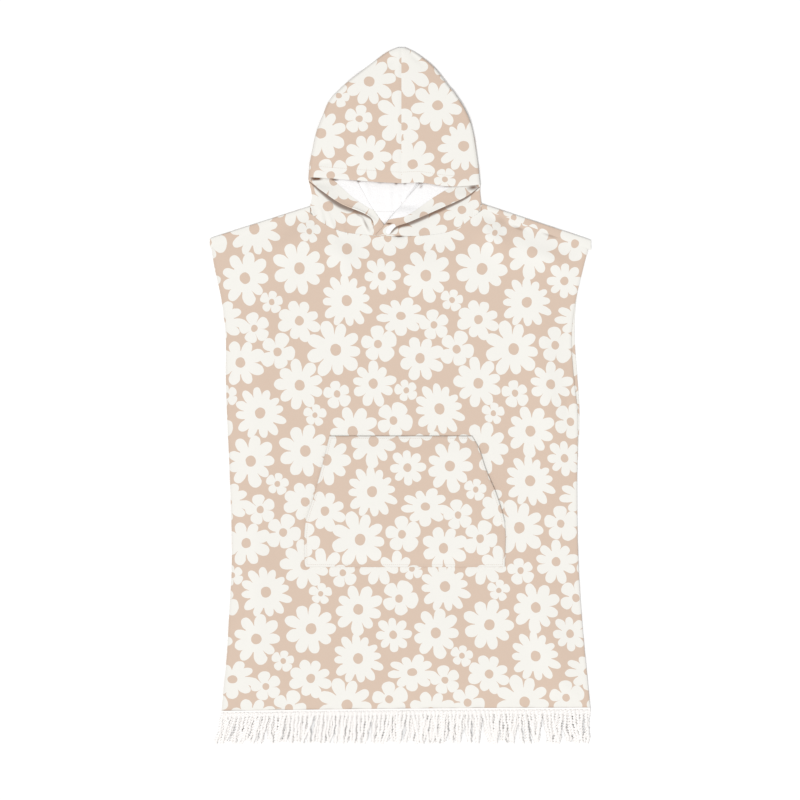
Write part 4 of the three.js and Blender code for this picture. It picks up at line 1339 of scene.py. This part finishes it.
# Columns of the hood's grid: the cheek, the lapel, and the upper layer of the head.
CHEEK_FROM = HOOD_BACK + FOLD_STEPS // 2
LAPEL_FROM = HOOD_BACK + FOLD_STEPS + len(CHEEK_STATIONS) + FOLD_STEPS // 2
UPPER_FROM = FREE_EDGE + 1
CHEEK_PART = slice(CHEEK_FROM, LAPEL_FROM)
LAPEL_PART = slice(LAPEL_FROM, UPPER_FROM)
UPPER_PART = slice(UPPER_FROM, None)
ABOVE_MOUTH = slice(0, HOOD_ROWS + 1)
BELOW_MOUTH = slice(HOOD_ROWS, None)


def to_free_edge(grid, columns):
    """How far points below the mouth's corners lie from each point of the hood's free edge."""
    points, edge = grid[BELOW_MOUTH, columns, :2], grid[BELOW_MOUTH, FREE_EDGE, :2]
    return np.linalg.norm(points[:, :, None] - edge[None, None], axis=-1)


def down_the_edge(side, column):
    return read(LAPELS[side], "down", np.linspace(0, 1, NECK_ROWS + 1), column)


def hood_from_hem(side, grid):
    """How far each point of the hood lies from its edge, so that the turned hem shows its printed side."""
    x, y = grid[..., 0], grid[..., 1]
    band_depth = bpy.context.scene.poncho.band_depth
    far = np.full(x.shape, FAR_OFF)
    gaps = to_free_edge(grid, LAPEL_PART)
    far[BELOW_MOUTH, LAPEL_PART] = gaps.min(-1) * band_depth / down_the_edge(side, "band")[gaps.argmin(-1)]
    above = y[ABOVE_MOUTH, UPPER_PART] - y[HOOD_ROWS, UPPER_PART]
    far[ABOVE_MOUTH, UPPER_PART] = np.minimum(FAR_OFF, above)
    from_corner = abs(x - LAPELS[side][0]["edge_x"]) - CORNER_BAND
    far[:HOOD_ROWS, LAPEL_PART] = np.maximum(0, from_corner)[:HOOD_ROWS, LAPEL_PART]
    if side > 0:
        lip = fold_height([dict(WHITE_LIP, rise=1)], x, y)
        far = np.maximum(far, band_depth + LIP_STEEP * (lip - LIP_EDGE))
    return far


def hood_painted_shade(side, grid):
    """How much painted shade darkens each point of the hood.

    The painted shade beside the free edge shows on the cheek, and the other spots of painted shade on all
    that lies in the mouth.
    """
    x, y = grid[..., 0], grid[..., 1]
    name, f = side_name(side), FOREHEAD_SHADE_LINE
    gap = np.clip(fold_height(MOUTH_SHADE_SPOTS, x, y) - SPOT_RIM, 0, 1)
    # Painted shade in a thin line under the forehead hem, wider and darker at the tucks.
    out = np.clip((x - CROWN_SEAM) / (HOOD_SIDES[-1][name] - CROWN_SEAM), 0, 1)
    under_hem = np.maximum(0, MOUTH_TOP - read(FOREHEAD_HEM, "out", out, name) - y)
    tuck = sum(t["dark"] * np.exp(-(((x - t["x"]) / t["half"]) ** 2)) for t in HEM_TUCKS)
    line = f["dark"] + f["varies"] * ripple(x, 0 * x, f["wave"], f["phase"]) + tuck
    fade = np.exp(-((under_hem / (f["wide"] + f["at_tuck"] * tuck)) ** 2))
    gap = np.maximum(gap, np.clip(line, 0, f["most"]) * fade)
    gap[ABOVE_MOUTH, UPPER_PART] = 0
    # Painted shade on the cheek beside the lapel's free edge.
    apart = to_free_edge(grid, CHEEK_PART) / (LAPEL_SHADE["share"] * down_the_edge(side, "gap"))
    dark = LAPEL_SHADE["dark"] * np.exp(-(apart ** LAPEL_SHADE["steep"])).max(-1)
    gap[BELOW_MOUTH, CHEEK_PART] = np.maximum(gap[BELOW_MOUTH, CHEEK_PART], dark)
    # Painted shade along the hood's outer edges above the mouth.
    outer = slice(FREE_EDGE, UPPER_FROM + FOLD_STEPS)
    gap[:HOOD_ROWS, outer] = np.maximum(gap[:HOOD_ROWS, outer], EDGE_SHADE)
    return gap


def make_hood(side):
    name = side_name(side)
    grid = hood_grid(side)
    there = all_cells(grid)
    there[BELOW_MOUTH, FREE_EDGE:] = False
    uv = print_cells("back", grid, mirrored=True)
    for lay, part in (("cheek_" + name, CHEEK_PART), ("band", LAPEL_PART), ("hood_" + name, UPPER_PART)):
        uv[:, part] = print_cells(lay, grid)[:, part]
    taper = np.ones(grid.shape[:2])
    taper[HOOD_ROWS, FREE_EDGE:] = PRESSED["forehead"]
    taper[BELOW_MOUTH, FREE_EDGE] = PRESSED["lapel"]
    # The two halves face opposite ways
    materials = (towelling_material(), printed_material())[::-side]
    obj = cloth_object(
        "hood_" + name, grid, there, bpy.context.scene.poncho.cloth * taper, uv, materials,
        {"from_hem": hood_from_hem(side, grid), "gap": hood_painted_shade(side, grid)}, edge_slot=1 if side < 0 else 0,
    )
    finish_piece(obj, "hood_" + name)
    return obj, grid, flat_area(grid, there)


# Pocket

POCKET_LOFT = dict(rise=1.4, reach=30)
POCKET_AIR = 0.35
POCKET_CELLS = (72, 100)
# The shadow at the pocket's top edge, and the fainter one round the rest of it.
TOP_SHADOW = dict(dark=0.34, varies=0.5, wave=33, phase=0.3)
SIDE_SHADOW = 0.16
SHADOW_WIDE = 1.4
STITCH_INSET = 4


def pocket_height(x, y):
    up = y - POCKET_FOOT
    start, end = read(POCKET_SIDES, "up", up, "left"), read(POCKET_SIDES, "up", up, "right")
    side = np.where(up < POCKET_SIDE_SEWN, np.minimum(x - start, end - x), FAR_OFF)
    inward = np.minimum(np.minimum(up, POCKET_HEIGHT - up), side)
    loft = POCKET_LOFT["rise"] * smooth(inward / POCKET_LOFT["reach"])
    return front_height(x, y) + bpy.context.scene.poncho.cloth + POCKET_AIR + loft


def make_pocket():
    up = crowded(POCKET_CELLS[0], POCKET_HEIGHT)[:, None] * POCKET_HEIGHT
    across = crowded(POCKET_CELLS[1], POCKET_WIDTH)[None]
    start, end = read(POCKET_SIDES, "up", up, "left"), read(POCKET_SIDES, "up", up, "right")
    x, y = np.broadcast_arrays(mix(start, end, across), POCKET_FOOT + up)
    grid = np.dstack([x, y, pocket_height(x, y)])
    there = all_cells(grid)
    # Painted shadow along the top edge, and fainter painted shade round the rest of the pocket.
    s = TOP_SHADOW
    top = s["dark"] * (1 + s["varies"] * ripple(x, 0 * x, s["wave"], s["phase"]))
    top = top * np.exp(-(((POCKET_HEIGHT - up) / SHADOW_WIDE) ** 2))
    inward = np.minimum(np.minimum(x - start, end - x), up)
    rim = np.maximum(top, SIDE_SHADOW * np.exp(-((inward / SHADOW_WIDE) ** 2)))
    obj = cloth_object(
        "pocket", grid, there, cloth_thickness(grid), print_cells("pocket", grid),
        (printed_material(), towelling_material()), {"from_hem": np.full(x.shape, FAR_OFF), "gap": rim},
    )
    finish_piece(obj, "pocket")
    return obj, flat_area(grid, there)


# Fringe

FRINGES = {
    "fringe_front": dict(middle=4.3, sag=0.15, phase=0.4, shorter=0, shift=0.5, dice=11),
    "fringe_back": dict(middle=2.2, sag=0.1, phase=0.9, shorter=3, shift=1, dice=23),
}
HEADING_HEIGHT = 10
HEADING_THICK = 1.28
HEADING_CELLS = (10, 619)
# The heading's row of holes and the grooves of its weave: how deep they are, and how dark their painted shade
# is.
HOLES = dict(down=5.2, wide=1.1, deep=0.35, dark=0.85, least=0.55, varies=0.45, wave=47, phase=0.2)
GROOVES = dict(below_hem=3, deep=0.3, dark=0.13)
YARN_RADIUS = 3.35
YARN_PITCH = 9.5
# The two plies of a yarn: how far each lies from its middle and how thick it is, as shares of the radius, and
# how flat the yarn is.
PLY = dict(off=0.48, thick=0.62, flat=(0.4, 0.5), end=0.25, taper=1.2)
FRINGE_END = -574.4
FRINGE_LEAN = (-11, 4)
FRINGE_NOTCH = dict(across=217, half=7, depth=9)
END_LEAN = dict(by=-8, share=0.05)
# How a strand strays from straight, and the range of its dice. Clumps are counted in strands.
STRAND = dict(
    overlap=6.5, clump=(2.5, 6.5), pull=(0.1, 0.7), stray=3.3, loose=1.9, wave=2.2, kink=0.7, uneven=5.0,
    past_left=9.5, past_right=6, rise=(-0.1, 0.9), thick=(0.82, 1.12),
)
YARN_STEPS = 34
YARN_SIDES = 6


def yarn(path, radius, phase):
    """Two plies twisted round a path: vertices and quads."""
    n = len(path)
    run = np.concatenate([[0], np.cumsum(np.linalg.norm(np.diff(path, axis=0), axis=1))])
    ends = np.minimum(1, np.sqrt(np.maximum(0, (run[-1] - run) / PLY["taper"])) + PLY["end"])
    ring = 2 * math.pi * np.arange(YARN_SIDES) / YARN_SIDES
    circle = np.stack([np.cos(ring), np.zeros(YARN_SIDES), PLY["flat"][1] * np.sin(ring)], -1)[None]
    thick = (PLY["thick"] * radius * ends)[:, None, None]
    vertices, quads = [], []
    for ply in (0, 1):
        turn = 2 * math.pi * run / YARN_PITCH + phase + math.pi * ply
        off = np.stack([np.cos(turn), np.zeros(n), PLY["flat"][0] * np.sin(turn)], -1)
        middle = path + PLY["off"] * radius * off
        base = ply * n * YARN_SIDES
        vertices.append((middle[:, None] + thick * circle).reshape(-1, 3))
        for i in range(n - 1):
            for k in range(YARN_SIDES):
                a, b = base + i * YARN_SIDES + k, base + i * YARN_SIDES + (k + 1) % YARN_SIDES
                quads.append([a, b, b + YARN_SIDES, a + YARN_SIDES])
        last = base + (n - 1) * YARN_SIDES
        quads.append([base + k for k in reversed(range(YARN_SIDES))])
        quads.append([last + k for k in range(YARN_SIDES)])
    return np.concatenate(vertices), quads


def hem_ends():
    return float(left(HEM["left"])), float(right(HEM["right"]))


def strand_pitch():
    start, end = hem_ends()
    return (end - start) / (bpy.context.scene.poncho.strands + 0.5)


def make_heading(name):
    """The woven heading, with its grooves and its row of small uneven holes, and painted shade down in both.
    """
    start, end = hem_ends()
    h, g = HOLES, GROOVES
    u = np.linspace(0, 1, HEADING_CELLS[1] + 1)
    drop = np.linspace(0, HEADING_HEIGHT, HEADING_CELLS[0] + 1)[:, None]
    x = np.repeat(mix(start, end, u)[None], len(drop), 0)
    y = hem_height(u)[None] - SEAM_GAP - drop
    weave = np.cos(2 * math.pi * (x - start) / (strand_pitch() / 2))
    hole = np.exp(-(((drop - h["down"]) / h["wide"]) ** 2)) * np.maximum(0, weave)
    hole = hole * (h["least"] + h["varies"] * ripple(x, 0 * x, h["wave"], h["phase"]))
    groove = smooth(drop / g["below_hem"]) * (0.5 + 0.5 * weave)
    grid = np.dstack([x, y, FRINGES[name]["middle"] - g["deep"] * groove - h["deep"] * hole])
    uv = cell_corners(np.stack([x, y], -1) / PRINT_REPEAT)
    return cloth_object(
        name, grid, all_cells(grid), np.full(x.shape, HEADING_THICK), uv, (cotton_material(),) * 2,
        {"hole": np.clip(h["dark"] * hole + g["dark"] * groove, 0, 1)},
    )


def clump_middles(rng, count):
    """Where the loose clumps of strands gather, counted in strands."""
    middles, at = [], 0.0
    while at < count:
        size = rng.uniform(*STRAND["clump"])
        middles.append(at + size / 2)
        at += size
    return np.array(middles)


def strand_path(rng, name, number, clumps):
    """The middle line of a strand: it waves, leans, gathers in its clump and ends unevenly."""
    facts, s, (start, end), pitch = FRINGES[name], STRAND, hem_ends(), strand_pitch()
    x = start + pitch * (number + facts["shift"])
    share = (x - start) / (end - start)
    top = float(hem_height(share)) - SEAM_GAP - HEADING_HEIGHT + s["overlap"]
    from_notch = (x - FRINGE_NOTCH["across"]) / FRINGE_NOTCH["half"]
    notch = FRINGE_NOTCH["depth"] * math.exp(-(from_notch**2))
    foot = FRINGE_END + facts["shorter"] + s["uneven"] * rng.random() ** 1.6 + notch
    t = np.linspace(0, 1, YARN_STEPS)
    clump = clumps[np.argmin(abs(clumps - number))]
    pull = (clump - number) * pitch * rng.uniform(*s["pull"]) * t**1.3
    stray = rng.normal(0, s["stray"]) * t**1.2
    loose = rng.normal(0, s["loose"]) * np.sin(rng.uniform(3, 8) * t + rng.uniform(0, 6))
    wave = t * (s["wave"] * math.sin(x * 0.06 + facts["phase"]) + loose)
    kink = s["kink"] * np.sin(2 * math.pi * t * rng.uniform(2, 4.5) + rng.uniform(0, 6)) * smooth(t * 4)
    lean = (mix(*FRINGE_LEAN, share) + END_LEAN["by"] * math.exp(-share / END_LEAN["share"])) * t
    px = np.clip(x + lean + pull + stray + wave + kink, start - s["past_left"], end + s["past_right"])
    pz = facts["middle"] - facts["sag"] * t + rng.uniform(*s["rise"]) * np.sin(math.pi * t)
    return np.stack([px, mix(top, foot, t), pz], -1)


def joined_mesh(name, vertices, faces, material):
    """One smooth mesh from lists of points, in millimetres, and faces."""
    mesh = bpy.data.meshes.new(name)
    mesh.from_pydata((np.concatenate(vertices) * MM).tolist(), [], faces)
    mesh.materials.append(material)
    mesh.polygons.foreach_set("use_smooth", np.ones(len(faces), bool))
    mesh.update()
    return mesh


def make_strands(name):
    """All the strands of one hem."""
    rng, count = np.random.default_rng(FRINGES[name]["dice"]), bpy.context.scene.poncho.strands
    clumps = clump_middles(rng, count)
    vertices, faces, base = [], [], 0
    for number in range(count):
        path = strand_path(rng, name, number, clumps)
        points, quads = yarn(path, YARN_RADIUS * rng.uniform(*STRAND["thick"]), rng.uniform(0, 6))
        vertices.append(points)
        faces += [[v + base for v in q] for q in quads]
        base += len(points)
    mesh = joined_mesh(name + "_strands", vertices, faces, cotton_material())
    hole = mesh.attributes.new("hole", "FLOAT", "POINT")
    hole.data.foreach_set("value", np.zeros(len(mesh.vertices), np.float32))
    return add_object(name + "_strands", mesh)


def make_fringe(name):
    heading, strands = make_heading(name), make_strands(name)
    bpy.ops.object.select_all(action="DESELECT")
    strands.select_set(True)
    heading.select_set(True)
    bpy.context.view_layer.objects.active = heading
    bpy.ops.object.join()
    return finish_piece(heading, name)


# Stitching

# A stitch's own size: its length as a share of the step from stitch to stitch, its width and its height.
STITCH_SHAPE = (0.8, 0.55, 0.4)


def along_line(points, step):
    """Places and directions every step along a line of points."""
    gaps = np.linalg.norm(np.diff(points, axis=0), axis=1)
    run = np.concatenate([[0], np.cumsum(gaps)])
    at = np.arange(step / 2, run[-1], step)
    place, ahead, behind = (
        np.stack([np.interp(at + shift, run, points[:, k]) for k in range(3)], -1) for shift in (0, 0.5, -0.5)
    )
    direction = ahead - behind
    return place, direction / np.linalg.norm(direction, axis=1, keepdims=True)


def make_stitches(name, lines):
    """One modelled stitch, copied along every line."""
    length = bpy.context.scene.poncho.stitch
    bpy.ops.mesh.primitive_uv_sphere_add(segments=8, ring_count=6, radius=0.5)
    source = bpy.context.active_object
    source.scale = (length * STITCH_SHAPE[0], *STITCH_SHAPE[1:])
    bpy.ops.object.transform_apply(location=False, rotation=False, scale=True)
    shape = np.array([v.co[:] for v in source.data.vertices])
    rings = [list(p.vertices) for p in source.data.polygons]
    bpy.data.objects.remove(source)
    vertices, faces, base = [], [], 0
    for line in lines:
        for place, ahead in zip(*along_line(line, length)):
            across = np.cross((0, 0, 1), ahead)
            across /= np.linalg.norm(across)
            frame_of = np.stack([ahead, across, np.cross(ahead, across)])
            vertices.append(place + shape @ frame_of)
            faces += [[v + base for v in ring] for ring in rings]
            base += len(shape)
    mesh = joined_mesh(name, vertices, faces, thread_material())
    return finish_piece(add_object(name, mesh), None)


def pocket_lines():
    foot, head = POCKET_FOOT + STITCH_INSET, POCKET_FOOT + POCKET_HEIGHT - STITCH_INSET
    up = np.linspace(foot, head, 60)
    lines = []
    for column, way in (("left", 1), ("right", -1)):
        x = read(POCKET_SIDES, "up", up - POCKET_FOOT, column) + way * STITCH_INSET
        lines.append((x, up))
    for y in (foot, head):
        a, b = (float(read(POCKET_SIDES, "up", y - POCKET_FOOT, c)) for c in ("left", "right"))
        x = np.linspace(a + STITCH_INSET, b - STITCH_INSET, 90)
        lines.append((x, np.full_like(x, y)))
    half = bpy.context.scene.poncho.cloth / 2
    return [np.stack([x, y, pocket_height(x, y) + half], -1) for x, y in lines]


def hood_hem_line(grid):
    """Along the forehead, above the hood's edge by the depth of its hem."""
    upper = grid[:HOOD_ROWS + 1, FREE_EDGE + FOLD_STEPS + 1:]
    height = upper[..., 1] - upper[-1:, :, 1]
    points = []
    for c in range(upper.shape[1]):
        order = np.argsort(height[:, c])
        points.append([np.interp(HOOD_HEM, height[order, c], upper[order, c, k]) for k in range(3)])
    points = np.array(points)
    points[:, 2] += bpy.context.scene.poncho.cloth / 2
    return points


# Stage, in metres and degrees

FLOOR = dict(size=8, below=0.0002)
SKY = 0.66
KEY_LIGHT = dict(strength=1.75, size=16, tilt=(25, -14, 0))
LENS = 120
SENSOR = 36
VIEW = dict(middle=(-0.0008, -0.0058), width=1.32)

# Operators


class PONCHO_OT_body(bpy.types.Operator):
    """Make the front and back panels"""

    bl_idname = "poncho.body"
    bl_label = "Body panels"

    def execute(self, context):
        back, back_area = make_back()
        front, front_area = make_front()
        return {"FINISHED"}


class PONCHO_OT_hood(bpy.types.Operator):
    """Make the two halves of the hood, and the stitches of its hem"""

    bl_idname = "poncho.hood"
    bl_label = "Hood"

    def execute(self, context):
        lines = []
        for side in (-1, 1):
            obj, grid, area = make_hood(side)
            lines.append(hood_hem_line(grid))
        make_stitches("hood_stitches", lines)
        return {"FINISHED"}


class PONCHO_OT_pocket(bpy.types.Operator):
    """Make the pocket and its stitches"""

    bl_idname = "poncho.pocket"
    bl_label = "Pocket"

    def execute(self, context):
        pocket, area = make_pocket()
        make_stitches("pocket_stitches", pocket_lines())
        return {"FINISHED"}


class PONCHO_OT_fringe(bpy.types.Operator):
    """Make the fringe of each hem"""

    bl_idname = "poncho.fringe"
    bl_label = "Fringe"

    def execute(self, context):
        for name in FRINGES:
            make_fringe(name)
        return {"FINISHED"}


class PONCHO_OT_stage(bpy.types.Operator):
    """Make the pale floor, the soft light and the camera"""

    bl_idname = "poncho.stage"
    bl_label = "Stage"

    def execute(self, context):
        scene = context.scene
        bpy.ops.mesh.primitive_plane_add(size=FLOOR["size"], location=(0, 0, -FLOOR["below"]))
        floor = context.active_object
        floor.name = "floor"
        material, _, shader = new_material("floor", roughness=1.0, specular=0.0)
        shader.inputs["Base Color"].default_value = (*scene.poncho_colours.floor, 1)
        floor.data.materials.append(material)
        world = bpy.data.worlds.new("Studio")
        world.use_nodes = True
        background = world.node_tree.nodes["Background"]
        background.inputs["Color"].default_value = (1, 1, 1, 1)
        background.inputs["Strength"].default_value = SKY
        scene.world = world
        lamp = bpy.data.lights.new("Key", "SUN")
        lamp.energy, lamp.angle = KEY_LIGHT["strength"], math.radians(KEY_LIGHT["size"])
        key = bpy.data.objects.new("Key", lamp)
        key.rotation_euler = [math.radians(angle) for angle in KEY_LIGHT["tilt"]]
        scene.collection.objects.link(key)
        data = bpy.data.cameras.new("Camera")
        data.lens, data.sensor_width = LENS, SENSOR
        camera = bpy.data.objects.new("Camera", data)
        camera.location = (*VIEW["middle"], VIEW["width"] * LENS / SENSOR)
        scene.collection.objects.link(camera)
        scene.camera = camera
        scene.view_settings.view_transform = "Standard"
        return {"FINISHED"}


class PONCHO_PT_panel(bpy.types.Panel):
    """Sizes and colours, and a button for each group of pieces"""

    bl_idname = "PONCHO_PT_panel"
    bl_label = "Hooded bath poncho"
    bl_space_type = "VIEW_3D"
    bl_region_type = "UI"
    bl_category = "Poncho"

    def draw(self, context):
        for settings in (context.scene.poncho, context.scene.poncho_colours):
            for name in settings.__annotations__:
                self.layout.prop(settings, name)
        for operator in OPERATORS:
            self.layout.operator(operator.bl_idname)


OPERATORS = (PONCHO_OT_stage, PONCHO_OT_body, PONCHO_OT_hood, PONCHO_OT_pocket, PONCHO_OT_fringe)
CLASSES = (PonchoSizes, PonchoColours, *OPERATORS, PONCHO_PT_panel)


def register():
    for cls in CLASSES:
        bpy.utils.register_class(cls)
    bpy.types.Scene.poncho = PointerProperty(type=PonchoSizes)
    bpy.types.Scene.poncho_colours = PointerProperty(type=PonchoColours)


def unregister():
    del bpy.types.Scene.poncho_colours
    del bpy.types.Scene.poncho
    for cls in reversed(CLASSES):
        bpy.utils.unregister_class(cls)


def main():
    bpy.ops.object.select_all(action="DESELECT")
    register()
    bpy.ops.poncho.stage()
    bpy.ops.poncho.body()
    bpy.ops.poncho.hood()
    bpy.ops.poncho.pocket()
    bpy.ops.poncho.fringe()


if __name__ == "__main__":
    main()
